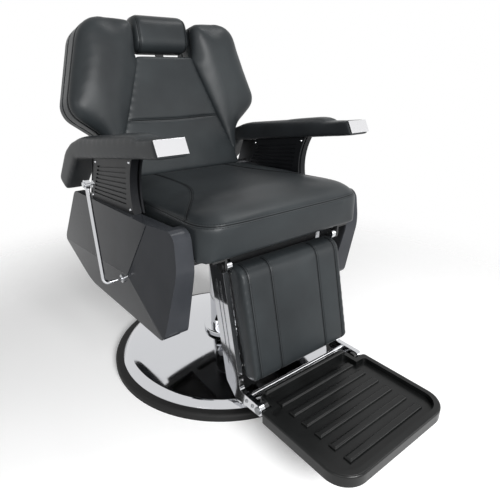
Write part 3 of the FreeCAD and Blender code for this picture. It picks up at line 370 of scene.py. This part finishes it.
def rounded_path(path):
    """Cuts a path's corners three times, so that it bends smoothly."""
    path = np.asarray(path, float)
    for _ in range(3):
        near = path[:-1] * 0.75 + path[1:] * 0.25
        far = path[:-1] * 0.25 + path[1:] * 0.75
        path = np.vstack([path[:1], np.column_stack([near, far]).reshape(-1, path.shape[1]), path[-1:]])
    return path


def turned_path(corners, radii):
    """A path through corners, each inner one turned by its own radius."""
    corners = [np.asarray(c, float) for c in corners]
    path = [corners[0]]
    for last, corner, following, radius in zip(corners, corners[1:], corners[2:], radii):
        back = (last - corner) / np.linalg.norm(last - corner)
        ahead = (following - corner) / np.linalg.norm(following - corner)
        half = math.acos(np.clip(back @ ahead, -1, 1)) / 2
        trim = min(radius / math.tan(half), 0.49 * np.linalg.norm(last - corner),
                   0.49 * np.linalg.norm(following - corner))
        for share in np.linspace(0, 1, 9):
            path.append(corner + trim * ((1 - share) ** 2 * back + share ** 2 * ahead))
    return np.array(path + [corners[-1]])


def relax(points, edges, rounds, weight):
    """Evens a mesh out towards its neighbours, by a weight for each point."""
    first, second = edges.T
    count = np.bincount(edges.ravel(), minlength=len(points))
    for _ in range(rounds):
        total = np.column_stack([
            np.bincount(first, points[second, k], len(points))
            + np.bincount(second, points[first, k], len(points))
            for k in range(3)])
        points = points + weight[:, None] * (total / count[:, None] - points)
    return points


# Cushions

def even_mesh(piece, voxel):
    """The same form with points spread evenly over it."""
    remesh = piece.modifiers.new("even mesh", "REMESH")
    remesh.mode = "VOXEL"
    remesh.voxel_size = voxel
    return baked(piece)


def foam_blank(name, node, voxel):
    """An even mesh over a CAD cushion, ready to be shaped and covered."""
    piece = copy_of(name, node)
    piece.data.materials.clear()
    return even_mesh(piece, voxel)


def stuff(piece, sewn, cap):
    """Swells a cover with cloth pressure, held where it is sewn, by no more than a cap."""
    last_frame = 20
    start = points_of(piece.data)
    held = piece.vertex_groups.new(name="sewn")
    held.add([int(i) for i in np.flatnonzero(sewn)], 1.0, "REPLACE")
    cloth = piece.modifiers.new("stuffing", "CLOTH")
    cloth.settings.use_pressure = True
    cloth.settings.uniform_pressure_force = 4.0
    cloth.settings.effector_weights.gravity = 0.0
    cloth.settings.vertex_group_mass = "sewn"
    cloth.settings.quality = 4
    cloth.point_cache.frame_start = 1
    cloth.point_cache.frame_end = last_frame
    for number in range(1, last_frame + 1):
        scene.frame_set(number)
    depsgraph = bpy.context.evaluated_depsgraph_get()
    swollen = points_of(piece.evaluated_get(depsgraph).data)
    piece.modifiers.clear()
    piece.vertex_groups.clear()
    scene.frame_set(1)
    move = swollen - start
    length = np.linalg.norm(move, axis=1)
    move *= (np.minimum(length, cap) / np.maximum(length, 1e-9))[:, None]
    # The swelling is evened out, because good leathercloth lies without wrinkles
    loose = np.where(sewn, 0.0, 0.5)
    set_points(piece.data, start + relax(move, edges_of(piece.data), rounds=30, weight=loose))


def refine(piece):
    """One subdivision, applied, with smooth shading."""
    finer = piece.modifiers.new("finer", "SUBSURF")
    finer.levels = 1
    finer.render_levels = 1
    baked(piece)
    piece.data.shade_smooth()


def surface_of(piece):
    """A search tree over a piece's faces."""
    mesh = piece.data
    return BVHTree.FromPolygons([v.co[:] for v in mesh.vertices], [p.vertices[:] for p in mesh.polygons])


def laid_on(surface, starts, directions):
    """Where lines from the starts meet a surface, and the normals there."""
    places = []
    normals = []
    for start, direction in zip(starts, directions):
        place, normal, _, _ = surface.ray_cast(Vector(start), Vector(direction))
        if place is not None:
            places.append(place)
            normals.append(normal)
    return np.array(places), np.array(normals)


# Places along the seams and the rows of stitches, by the body that they ride on
seam_runs = {}
stitch_runs = {}


def sew(piece, body, seams, width, depth):
    """Draws a cover in along its seams, and keeps their runs for cords and stitches.

    Each seam is a list of starts outside the cover and the directions in which it is laid on."""
    surface = surface_of(piece)
    runs = [laid_on(surface, starts, directions)[0] for starts, directions in seams]
    samples = np.vstack(runs)
    tree = KDTree(len(samples))
    for i, place in enumerate(samples):
        tree.insert(place, i)
    tree.balance()
    points = points_of(piece.data)
    away = np.array([tree.find(p)[2] for p in points])
    points -= normals_of(piece.data) * (depth * np.exp(-(away / width) ** 2))[:, None]
    set_points(piece.data, points)
    surface = surface_of(piece)
    clear_of_cover = 12 * mm
    for starts, directions in seams:
        places, normals = laid_on(surface, starts, directions)
        seam_runs.setdefault(body, []).append(places + normals * cord_lift)
        along = np.gradient(places, axis=0)
        across = np.cross(along, normals)
        across /= np.linalg.norm(across, axis=1)[:, None]
        for side in (-1, 1):
            row_starts = places + across * side * stitch_offset + normals * clear_of_cover
            row, row_normals = laid_on(surface, row_starts, -normals)
            if len(row) > 3:
                stitch_runs.setdefault(body, []).append(row + row_normals * stitch_lift)


def finish_cushion(piece, body, fill, *replaced):
    """Covers a cushion in vinyl and lets it stand for its CAD node."""
    dress(piece, vinyl)
    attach(piece, body)
    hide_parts(*replaced)


def down_onto(path):
    """Starts well above a path of (x, y) points, and the way down."""
    height = 0.7
    starts = np.column_stack([path, np.full(len(path), height)])
    return starts, np.tile([0.0, 0.0, -1.0], (len(path), 1))


def back_onto(path):
    """Starts well ahead of a path of (x, v) points on the back, and the way rearwards."""
    ahead = -0.1
    starts = from_back(np.column_stack([path, np.full(len(path), ahead)]))
    return starts, np.tile(back_rear, (len(path), 1))


def make_seat():
    """Seat: crowned top panel with two side bolsters, sewn to a front and side band."""
    grid = 6 * mm
    half_width, front_y, rear_y, seam_z = 0.262, -0.309, 0.19, 0.542
    side_roll, front_roll = 62 * mm, 88 * mm
    bow, bow_from, bow_width = 0.014, 0.09, 0.2
    seat = foam_blank("seat_upholstery", "seat_cushion", grid)
    points = points_of(seat.data)
    # Inside the band the top rises in one roll, broad at the front, to a top that falls to the rear
    aside = np.abs(points[:, 0])
    bowed_front = front_y + bow * smoothstep((aside - bow_from) / bow_width)
    side_edge = np.clip(1 - (half_width - aside) / side_roll, 0, 1)
    front_edge = np.clip(1 - (points[:, 1] - bowed_front) / front_roll, 0, 1)
    rise = np.sqrt(1 - np.clip(side_edge ** 2 + front_edge ** 2, 0, 1))
    crown_z = np.interp(points[:, 1], [-0.275, -0.12, 0.205], [0.578, 0.570, 0.556])
    above = points[:, 2] > seam_z
    faces_up = smoothstep(normals_of(seat.data)[:, 2] / 0.4)
    points[:, 2] = np.where(above, seam_z + faces_up * rise * (crown_z - seam_z), points[:, 2])
    set_points(seat.data, points)
    even_mesh(seat, grid)
    points = points_of(seat.data)
    low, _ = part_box("seat_cushion")
    flat = points[:, 2] < low.z + 14 * mm
    points = relax(points, edges_of(seat.data), rounds=10, weight=np.where(flat, 0.05, 0.5))
    set_points(seat.data, points)
    sewn = flat | (points[:, 1] > rear_y) | (np.abs(points[:, 2] - seam_z) < 4 * mm)
    stuff(seat, sewn, cap=6 * mm)
    refine(seat)
    bolster = spread_along(rounded_path([(0.125, 0.20), (0.132, 0.05), (0.148, -0.06), (0.180, -0.13),
                                         (0.215, -0.178), (0.256, -0.225)]))
    bolster_seams = [down_onto(bolster * (side, 1)) for side in (-1, 1)]
    half = [(-half_width, 0.21), (-half_width, -0.235), (-0.252, -0.280), (-0.215, -0.301), (-0.152, front_y)]
    other_half = [(-x, y) for x, y in reversed(half)]
    band = spread_along(rounded_path(half + [(0.0, front_y)] + other_half))
    outward = outward_of(band, (0.0, -0.05))
    band_starts = np.column_stack([band + outward * 40 * mm, np.full(len(band), seam_z)])
    band_ways = np.column_stack([-outward, np.zeros(len(band))])
    sew(seat, "seat", bolster_seams, width=3.5 * mm, depth=0.8 * mm)
    sew(seat, "seat", [(band_starts, band_ways)], width=3.5 * mm, depth=1.2 * mm)
    finish_cushion(seat, "seat", 0.7, "seat_cushion")


# The seam between the centre of the back and its left wing, as (x, v)
wing_seam = np.array([(0.2245, -0.002), (0.205, 0.045), (0.184, 0.10), (0.151, 0.184), (0.120, 0.262),
                      (0.0885, 0.351)])


def make_back_centre():
    """Centre of the back: a cushion that a cross seam draws into two panels."""
    cross_half, cross_v, cross_sag = 0.158, 0.167, 0.004
    foot_v, top_v = 0.01, 0.343
    tuck, tuck_width = 9 * mm, 24 * mm
    centre = foam_blank("back_centre_upholstery", "back_cushion", voxel=5 * mm)
    local = to_back(points_of(centre.data))
    front = local[:, 2] < 30 * mm
    inside = np.interp(local[:, 1], wing_seam[:, 1], wing_seam[:, 0]) - np.abs(local[:, 0])
    local = relax(local, edges_of(centre.data), rounds=12, weight=np.where(front, 0.45, 0.1))
    # The sides run on under the wings, so that no gap shows at the seam
    local[:, 0] += np.sign(local[:, 0]) * tuck * smoothstep(1 - inside / tuck_width)
    set_points(centre.data, from_back(local))
    cross = spread_along([(-cross_half, cross_v), (0.0, cross_v - cross_sag), (cross_half, cross_v)])
    sewn = ~front | (inside < 6 * mm) | (local[:, 1] > top_v) | (local[:, 1] < foot_v)
    sewn |= path_distance(local[:, :2], cross) < 4 * mm
    stuff(centre, sewn, cap=13 * mm)
    refine(centre)
    sew(centre, "back", [back_onto(cross)], width=5 * mm, depth=3.0 * mm)
    finish_cushion(centre, "back", 0.6, "back_cushion")


def make_back_wings():
    """Wings of the back: pillows rolled forward beside the centre, the right one mirrored."""
    grid = 5 * mm
    inner_roll, outer_roll, front_depth = 66 * mm, 38 * mm, 50 * mm
    crown, dip, fall = 12 * mm, 2 * mm, 26 * mm
    outline = turned_path([(0.223, 0.016), (0.231, 0.126), (0.328, 0.202), (0.248, 0.453), (0.100, 0.445),
                           (0.098, 0.351)], [0.070, 0.055, 0.075, 0.018])
    levels = [0.0, 0.126, 0.202, 0.453]
    wing = foam_blank("back_wing_upholstery_left", "back_wing_left", grid)
    local = to_back(points_of(wing.data))
    inner = path_distance(local[:, :2], wing_seam)
    outer = path_distance(local[:, :2], outline)
    forward = np.interp(local[:, 1], levels, [0.0, 1 * mm, 8 * mm, 24 * mm])
    near_front = 1 - smoothstep((local[:, 2] + forward) / front_depth)
    # A pillow: broad in front, rolled off at the outer edge and rolled down to the centre's seam
    full = np.sqrt(1 - np.clip(1 - inner / inner_roll, 0, 1) ** 2)
    rolled = np.sqrt(1 - np.clip(1 - outer / outer_roll, 0, 1) ** 2)
    swell = (forward + crown) * full - dip * (1 - full)
    local[:, 2] += near_front * (forward - swell + fall * (1 - rolled))
    set_points(wing.data, from_back(local))
    even_mesh(wing, grid)
    local = to_back(points_of(wing.data))
    rear = local[:, 2] > 58 * mm
    local = relax(local, edges_of(wing.data), rounds=14, weight=np.where(rear, 0.05, 0.45))
    set_points(wing.data, from_back(local))
    inner = path_distance(local[:, :2], wing_seam)
    outer = path_distance(local[:, :2], outline)
    sewn = rear | (inner < 5 * mm) | ((outer < 6 * mm) & (local[:, 2] > 18 * mm))
    stuff(wing, sewn, cap=7 * mm)
    refine(wing)
    edge = spread_along(outline)
    outward = outward_of(edge, (0.19, 0.30))
    seam_w = np.interp(edge[:, 1], levels, [24 * mm, 23 * mm, 18 * mm, 8 * mm])
    starts = from_back(np.column_stack([edge + outward * 30 * mm, seam_w]))
    ways = -(np.column_stack([outward[:, 0], np.zeros(len(edge)), np.zeros(len(edge))])
             + outward[:, 1:2] * back_up)
    centre_counts = len(seam_runs["back"]), len(stitch_runs["back"])
    sew(wing, "back", [(starts, ways)], width=4 * mm, depth=2.2 * mm)
    for runs, count in zip((seam_runs["back"], stitch_runs["back"]), centre_counts):
        runs.extend([run * (-1, 1, 1) for run in runs[count:]])
    other = mirrored_copy("back_wing_upholstery_right", wing)
    finish_cushion(wing, "back", 0.75, "back_wing_left")
    finish_cushion(other, "back", 0.75, "back_wing_right")


def make_headrest():
    """Headrest bolster: a stuffed roll with round end panels sewn in."""
    end_x, middle_v, middle_w, reach = 79 * mm, 0.416, 0.033, 0.12
    bolster = foam_blank("headrest_upholstery", "headrest_cushion", voxel=4.5 * mm)
    points = points_of(bolster.data)
    points = relax(points, edges_of(bolster.data), rounds=10, weight=np.full(len(points), 0.45))
    set_points(bolster.data, points)
    sewn = np.abs(np.abs(points[:, 0]) - end_x) < 3 * mm
    stuff(bolster, sewn, cap=9 * mm)
    refine(bolster)
    angles = np.linspace(0, 2 * math.pi, 150)
    seams = []
    for x in (-end_x, end_x):
        starts = from_back(np.column_stack([np.full(len(angles), x), middle_v + reach * np.sin(angles),
                                            middle_w + reach * np.cos(angles)]))
        ways = from_back([(x, middle_v, middle_w)]) - starts
        seams.append((starts, ways / np.linalg.norm(ways, axis=1)[:, None]))
    sew(bolster, "headrest", seams, width=4 * mm, depth=2.0 * mm)
    finish_cushion(bolster, "headrest", 0.8, "headrest_cushion")


def make_calf_pad():
    """Calf pad: three sewn panels between side bands, rolled over at the top."""
    top_y, top_z, foot_y, foot_z = -0.303, 0.427, -0.366, 0.140
    seam_xs = (-0.148, -0.079, 0.079, 0.148)
    roll_y, roll_z, reach = -0.268, 0.391, 0.12
    ahead_of_pad = -0.45
    pad = foam_blank("calf_upholstery", "calf_cushion", voxel=5 * mm)
    points = points_of(pad.data)
    slope = (top_y - foot_y) / (top_z - foot_z)
    behind_face = points[:, 1] - top_y + slope * (top_z - points[:, 2])
    rear = behind_face > 40 * mm
    points = relax(points, edges_of(pad.data), rounds=10, weight=np.where(rear, 0.3, 0.45))
    set_points(pad.data, points)
    sewn = rear.copy()
    for x in seam_xs:
        sewn |= np.abs(points[:, 0] - x) < 3 * mm
    stuff(pad, sewn, cap=8 * mm)
    refine(pad)
    # Each seam runs straight up the front and then over the roll, without laying any place twice
    heights = np.linspace(0.142, 0.388, 103)
    over = np.linspace(0.0, math.pi / 2, 24)[1:]
    seams = []
    for x in seam_xs:
        face = np.column_stack([np.full(len(heights), x), np.full(len(heights), ahead_of_pad), heights])
        hub = np.array([x, roll_y, roll_z])
        ring = hub + np.column_stack([np.zeros(len(over)), -np.cos(over), np.sin(over)]) * reach
        ways = np.vstack([np.tile([0.0, 1.0, 0.0], (len(heights), 1)), (hub - ring) / reach])
        seams.append((np.vstack([face, ring]), ways))
    sew(pad, "leg_rest", seams, width=3.5 * mm, depth=2.0 * mm)
    finish_cushion(pad, "leg_rest", 0.65, "calf_cushion")


# The armrests' straight top edge, as (y, z) at its front and rear
arm_front = (-0.231, 0.725)
arm_rear = (0.285, 0.664)


def arm_line(y):
    """Height of the armrests' straight top edge."""
    return arm_front[1] - (y - arm_front[0]) * (arm_front[1] - arm_rear[1]) / (arm_rear[0] - arm_front[0])


def arm_crown(y, aside):
    """How far the stuffed part stands above that edge, from the middle (0) to the sides (1)."""
    front_y, front_roll, rear_y, rear_roll = -0.142, 48 * mm, 0.268, 60 * mm
    height = 12 * mm
    near = np.clip((y - front_y) / front_roll, 0, 1)
    far = np.clip((rear_y - y) / rear_roll, 0, 1)
    return height * np.sqrt(1 - (1 - near) ** 2) * np.sqrt(1 - (1 - far) ** 2) * (1 - aside ** 4)


def make_armrests():
    """Armrests: foam moulded in its own skin, crowned behind the end plate, with soft edges."""
    plate_y, plate_reach, crown_depth = -0.215, 60 * mm, 30 * mm
    for side in ("right", "left"):
        arm = foam_blank("armrest_skin_" + side, "armrest_" + side, voxel=4 * mm)
        points = points_of(arm.data)
        low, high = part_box("armrest_" + side)
        aside = np.clip(np.abs(points[:, 0] - (low.x + high.x) / 2) / ((high.x - low.x) / 2), 0, 1)
        upper = smoothstep((points[:, 2] - arm_line(points[:, 1]) + crown_depth) / crown_depth)
        points[:, 2] += upper * arm_crown(points[:, 1], aside)
        # Edges soften behind the end plate, which needs a true seat
        soft = 0.1 + 0.4 * smoothstep((points[:, 1] - plate_y) / plate_reach)
        points = relax(points, edges_of(arm.data), rounds=24, weight=soft)
        set_points(arm.data, points)
        refine(arm)
        dress(arm, arm_skin)
        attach(arm, "seat")
        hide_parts("armrest_" + side)


def make_arm_pads():
    """Thin vinyl pads over the front half of the armrests, round at both ends."""
    rows, columns = 60, 24
    end_power, edge_power, fullness = 3.2, 2.6, 0.6
    sunk, thickness, underside = 0.8 * mm, 3 * mm, 2.5 * mm
    low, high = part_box("arm_pad_right")
    middle_x, half_x = (low.x + high.x) / 2, (high.x - low.x) / 2
    middle_y, half_y = (low.y + high.y) / 2, (high.y - low.y) / 2
    tops = []
    for i in range(rows + 1):
        u = -math.cos(math.pi * i / rows)
        y = middle_y + u * half_y
        width = half_x * (1 - abs(u) ** end_power) ** (1 / end_power)
        for j in range(columns + 1):
            s = -math.cos(math.pi * j / columns)
            swell = (1 - abs(u) ** edge_power) ** fullness * (1 - abs(s) ** edge_power) ** fullness
            base = arm_line(y) + arm_crown(y, abs(s * width / half_x))
            tops.append((middle_x + s * width, y, base - sunk + thickness * swell))
    shape = bmesh.new()
    upper = [shape.verts.new(p) for p in tops]
    lower = [shape.verts.new((x, y, arm_line(y) - underside)) for x, y, _ in tops]
    across = columns + 1
    for i in range(rows):
        for j in range(columns):
            k = i * across + j
            shape.faces.new((upper[k], upper[k + 1], upper[k + across + 1], upper[k + across]))
            shape.faces.new((lower[k], lower[k + across], lower[k + across + 1], lower[k + 1]))
    for end in (0, columns):
        for i in range(rows):
            a, b = i * across + end, (i + 1) * across + end
            shape.faces.new((upper[a], upper[b], lower[b], lower[a]))
    bmesh.ops.remove_doubles(shape, verts=shape.verts, dist=0.02 * mm)
    bmesh.ops.recalc_face_normals(shape, faces=shape.faces)
    mesh = bpy.data.meshes.new("arm_pad_upholstery_right")
    shape.to_mesh(mesh)
    shape.free()
    mesh.shade_smooth()
    right = new_object("arm_pad_upholstery_right", mesh)
    left = mirrored_copy("arm_pad_upholstery_left", right)
    finish_cushion(right, "seat", 0.7, "arm_pad_right")
    finish_cushion(left, "seat", 0.7, "arm_pad_left")


# Formed and moulded pieces

# Faces larger than this, in square metres, meet in a crisp ridge
flat_area = 4e-3


def ease_edges(node, body, width):
    """Stands in for a hard-edged node with the same shape, its sharp edges broken."""
    piece = copy_of(node + "_eased", node)
    shape = bmesh.new()
    shape.from_mesh(piece.data)
    bmesh.ops.dissolve_limit(shape, angle_limit=math.radians(0.5), verts=shape.verts, edges=shape.edges)
    for face in shape.faces:
        face.smooth = True
    for edge in shape.edges:
        edge.smooth = min(face.calc_area() for face in edge.link_faces) < flat_area
    shape.to_mesh(piece.data)
    shape.free()
    bevel = piece.modifiers.new("broken edges", "BEVEL")
    bevel.width = width
    bevel.segments = 3
    bevel.limit_method = "ANGLE"
    bevel.angle_limit = math.radians(28)
    even = piece.modifiers.new("even shading", "WEIGHTED_NORMAL")
    even.keep_sharp = True
    baked(piece)
    dress(piece, finishes[node])
    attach(piece, body)
    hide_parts(node)


def make_dish():
    """The base's dish, spun from one sheet, its outer edge rolled down into a bright lip."""
    rim, neck, lip, wall, turns = 331 * mm, 62 * mm, 18 * mm, 3 * mm, 180
    skirt_z = 10 * mm
    lip_foot_mm, lip_rise_mm, lip_power = 20, 15.7, 1.3
    dome_foot_mm, dome_rise_mm, dome_bulge_mm = 32, 40, 24
    roll = np.linspace(0, 1, 10)
    edge_z = (lip_foot_mm + lip_rise_mm * (1 - (1 - roll) ** lip_power)) * mm
    spread = np.linspace(rim - lip - 1 * mm, neck, 40)
    inward = (rim - spread) / (rim - neck)
    dome_z = (dome_foot_mm + dome_rise_mm * inward + dome_bulge_mm * inward * (1 - inward)) * mm
    outside = np.vstack([[[rim, skirt_z]], np.column_stack([rim - lip * roll, edge_z]),
                         np.column_stack([spread, dome_z])])
    under = np.column_stack([spread, dome_z - wall])[::-1]
    profile = np.vstack([outside, under, [[rim - wall - 2 * mm, lip_foot_mm * mm], [rim - wall, skirt_z]]])
    around = np.linspace(0, 2 * math.pi, turns, endpoint=False)
    points = [(r * math.cos(a), r * math.sin(a), z) for a in around for r, z in profile]
    count = len(profile)
    faces = [(i * count + j, (i + 1) % turns * count + j,
              (i + 1) % turns * count + (j + 1) % count, i * count + (j + 1) % count)
             for i in range(turns) for j in range(count)]
    mesh = bpy.data.meshes.new("base_dish_spun")
    mesh.from_pydata(points, [], faces)
    shape = bmesh.new()
    shape.from_mesh(mesh)
    bmesh.ops.recalc_face_normals(shape, faces=shape.faces)
    shape.to_mesh(mesh)
    shape.free()
    mesh.shade_smooth()
    mesh.set_sharp_from_angle(angle=math.radians(35))
    dish = new_object("base_dish_spun", mesh)
    dress(dish, finishes["base_dish"])
    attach(dish, "base")
    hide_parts("base_dish")


# Seam cords and stitches, in the near-black thread that also paints the shade of the seams' grooves

def geometry_tree(name, floats):
    """An empty geometry tree with float inputs and a material input."""
    tree = bpy.data.node_groups.new(name, "GeometryNodeTree")
    tree.interface.new_socket("Geometry", in_out="INPUT", socket_type="NodeSocketGeometry")
    for label in floats:
        tree.interface.new_socket(label, in_out="INPUT", socket_type="NodeSocketFloat")
    tree.interface.new_socket("Material", in_out="INPUT", socket_type="NodeSocketMaterial")
    tree.interface.new_socket("Geometry", in_out="OUTPUT", socket_type="NodeSocketGeometry")
    return tree, add(tree, "NodeGroupInput")


def cord_tree():
    """A round cord along each path."""
    tree, given = geometry_tree("seam_cord", ["Radius"])
    ring = add(tree, "GeometryNodeCurvePrimitiveCircle", {"Resolution": 6, "Radius": given.outputs["Radius"]})
    cord = add(tree, "GeometryNodeCurveToMesh", {"Curve": given.outputs["Geometry"],
                                                 "Profile Curve": ring.outputs["Curve"], "Fill Caps": True})
    real = add(tree, "GeometryNodeRealizeInstances", {"Geometry": cord.outputs["Mesh"]})
    dyed = add(tree, "GeometryNodeSetMaterial", {"Geometry": real.outputs["Geometry"],
                                                 "Material": given.outputs["Material"]})
    add(tree, "NodeGroupOutput", {"Geometry": dyed.outputs["Geometry"]})
    return tree


def stitch_tree():
    """Short stitches, evenly pitched along each path."""
    tree, given = geometry_tree("stitch_row", ["Pitch", "Length", "Radius"])
    spaced = add(tree, "GeometryNodeResampleCurve", {"Curve": given.outputs["Geometry"],
                                                     "Length": given.outputs["Pitch"]}, mode="LENGTH")
    tangent = add(tree, "GeometryNodeInputTangent")
    turned = add(tree, "FunctionNodeAlignRotationToVector", {"Vector": tangent.outputs["Tangent"]}, axis="Z")
    stitch = add(tree, "GeometryNodeMeshCylinder", {"Vertices": 6, "Radius": given.outputs["Radius"],
                                                    "Depth": given.outputs["Length"]})
    rows = add(tree, "GeometryNodeInstanceOnPoints", {"Points": spaced.outputs["Curve"],
                                                      "Instance": stitch.outputs["Mesh"],
                                                      "Rotation": turned.outputs["Rotation"]})
    real = add(tree, "GeometryNodeRealizeInstances", {"Geometry": rows.outputs["Instances"]})
    dyed = add(tree, "GeometryNodeSetMaterial", {"Geometry": real.outputs["Geometry"],
                                                 "Material": given.outputs["Material"]})
    add(tree, "NodeGroupOutput", {"Geometry": dyed.outputs["Geometry"]})
    return tree


def grown(name, runs, tree, body, **given):
    """A mesh grown by a geometry tree along paths, riding on a body."""
    curve = bpy.data.curves.new(name + "_path", "CURVE")
    curve.dimensions = "3D"
    for run in runs:
        spline = curve.splines.new("POLY")
        spline.points.add(len(run) - 1)
        spline.points.foreach_set("co", np.column_stack([run, np.ones(len(run))]).ravel())
    path = new_object(name + "_path", curve)
    grow = path.modifiers.new("grow", "NODES")
    grow.node_group = tree
    for item in tree.interface.items_tree:
        if item.in_out == "INPUT" and item.name in given:
            grow[item.identifier] = given[item.name]
    depsgraph = bpy.context.evaluated_depsgraph_get()
    mesh = bpy.data.meshes.new_from_object(path.evaluated_get(depsgraph))
    bpy.data.objects.remove(path)
    mesh.shade_smooth()
    piece = new_object(name, mesh)
    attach(piece, body)


# Covers and stand-ins, each made in turn

make_seat()
make_back_centre()
make_back_wings()
make_headrest()
make_calf_pad()
make_armrests()
make_arm_pads()
make_dish()
for side in ("right", "left"):
    ease_edges("side_panel_" + side, "seat", width=2.4 * mm)
    ease_edges("calf_bar_" + side, "leg_rest", width=1.2 * mm)
    ease_edges("outer_rib_cover_" + side, "seat", width=0.7 * mm)
    ease_edges("arm_end_plate_" + side, "seat", width=0.8 * mm)
cords = cord_tree()
stitches = stitch_tree()
# Cords and stitches take the near-black thread: painted shade along the seams, darker than the vinyl beside
# them
for body in seam_runs:
    grown("seam_cord_" + body, seam_runs[body], cords, body, Radius=cord_radius, Material=seam_shade_thread)
for body in stitch_runs:
    grown("stitches_" + body, stitch_runs[body], stitches, body, Pitch=stitch_pitch, Length=stitch_length,
          Radius=stitch_radius, Material=seam_shade_thread)


# Floor, light and camera

def make_floor():
    """A pale floor that fades into the white studio around the chair."""
    reach, fade_from, fade_to = 4.0, 0.7, 1.7
    corners = [(-reach, -reach, 0), (reach, -reach, 0), (reach, reach, 0), (-reach, reach, 0)]
    mesh = bpy.data.meshes.new("floor")
    mesh.from_pydata(corners, [], [(0, 1, 2, 3)])
    floor = new_object("floor", mesh)
    made, tree, shader = start_material("pale_studio_floor", Roughness=0.9, Base_Color=srgb("#fbfbfb"),
                                        Emission_Color=srgb("#ffffff"), Emission_Strength=0.2)
    # The camera and mirrors see it pale, and it throws less light up at dull surfaces
    rays = add(tree, "ShaderNodeLightPath")
    seen = add(tree, "ShaderNodeMath", {0: rays.outputs["Is Camera Ray"], 1: rays.outputs["Is Glossy Ray"]},
               operation="MAXIMUM")
    dim = add(tree, "ShaderNodeBsdfDiffuse", {"Color": srgb("#8c8c8c")})
    bright = add(tree, "ShaderNodeMixShader", {0: seen.outputs[0], 1: dim.outputs[0], 2: shader.outputs[0]})
    place = add(tree, "ShaderNodeTexCoord").outputs["Object"]
    away = add(tree, "ShaderNodeVectorMath", {0: place}, operation="LENGTH")
    fade = add(tree, "ShaderNodeMapRange", {"Value": away.outputs["Value"], "From Min": fade_from,
                                            "From Max": fade_to}, interpolation_type="SMOOTHSTEP")
    clear = add(tree, "ShaderNodeBsdfTransparent")
    mixed = add(tree, "ShaderNodeMixShader", {0: fade.outputs["Result"], 1: bright.outputs[0],
                                              2: clear.outputs[0]})
    tree.links.new(mixed.outputs["Shader"], tree.nodes["Material Output"].inputs["Surface"])
    mesh.materials.append(made)


def make_world():
    """White studio: seen white, with a gentler light on dull surfaces."""
    white_light = (1.0, 1.0, 1.0, 1.0)
    world = bpy.data.worlds.new("studio")
    scene.world = world
    world.use_nodes = True
    tree = world.node_tree
    tree.nodes.clear()
    rays = add(tree, "ShaderNodeLightPath")
    seen = add(tree, "ShaderNodeMath", {0: rays.outputs["Is Camera Ray"], 1: rays.outputs["Is Glossy Ray"]},
               operation="MAXIMUM")
    seen = add(tree, "ShaderNodeMath", {0: seen.outputs[0], 1: rays.outputs["Is Transmission Ray"]},
               operation="MAXIMUM")
    fill = add(tree, "ShaderNodeBackground", {"Color": white_light, "Strength": 0.17})
    white = add(tree, "ShaderNodeBackground", {"Color": white_light, "Strength": 1.0})
    mixed = add(tree, "ShaderNodeMixShader", {0: seen.outputs[0], 1: fill.outputs[0], 2: white.outputs[0]})
    add(tree, "ShaderNodeOutputWorld", {"Surface": mixed.outputs[0]})


def aim(name, data, place, way):
    """A lamp or camera at a place, looking along a way."""
    holder = new_object(name, data)
    holder.location = place
    holder.rotation_euler = Vector(way).to_track_quat("-Z", "Y").to_euler()
    return holder


def soft_box(name, place, target, size, power):
    """A rectangular studio lamp turned to a target; size in metres, power in watts."""
    lamp = bpy.data.lights.new(name, "AREA")
    lamp.shape = "RECTANGLE"
    lamp.size, lamp.size_y = size
    lamp.energy = power
    aim(name, lamp, place, Vector(target) - Vector(place))


def make_camera():
    """The photograph's camera, solved from the ellipse of the base and mirrored pairs of corners."""
    place = (-0.72052, -1.03447, 0.84882)
    turn, dip = math.radians(-38.46), math.radians(22.0)
    data = bpy.data.cameras.new("camera")
    data.sensor_width = 36.0
    data.lens = 31.877
    way = (-math.sin(turn) * math.cos(dip), math.cos(turn) * math.cos(dip), -math.sin(dip))
    scene.camera = aim("camera", data, place, way)


make_floor()
make_world()
soft_box("key_box", place=(-0.5, -2.6, 1.35), target=(0, 0.1, 0.7), size=(1.3, 0.9), power=95.0)
soft_box("top_box", place=(1.0, -0.4, 2.5), target=(0.1, -0.2, 0.5), size=(0.7, 0.7), power=13.0)
soft_box("left_box", place=(-2.2, -1.6, 1.2), target=(0, 0, 0.5), size=(1.0, 1.4), power=13.0)
soft_box("front_box", place=(1.7, -2.2, 1.1), target=(0, 0.1, 0.7), size=(0.9, 1.3), power=12.0)
make_camera()
scene.view_settings.view_transform = "Standard"
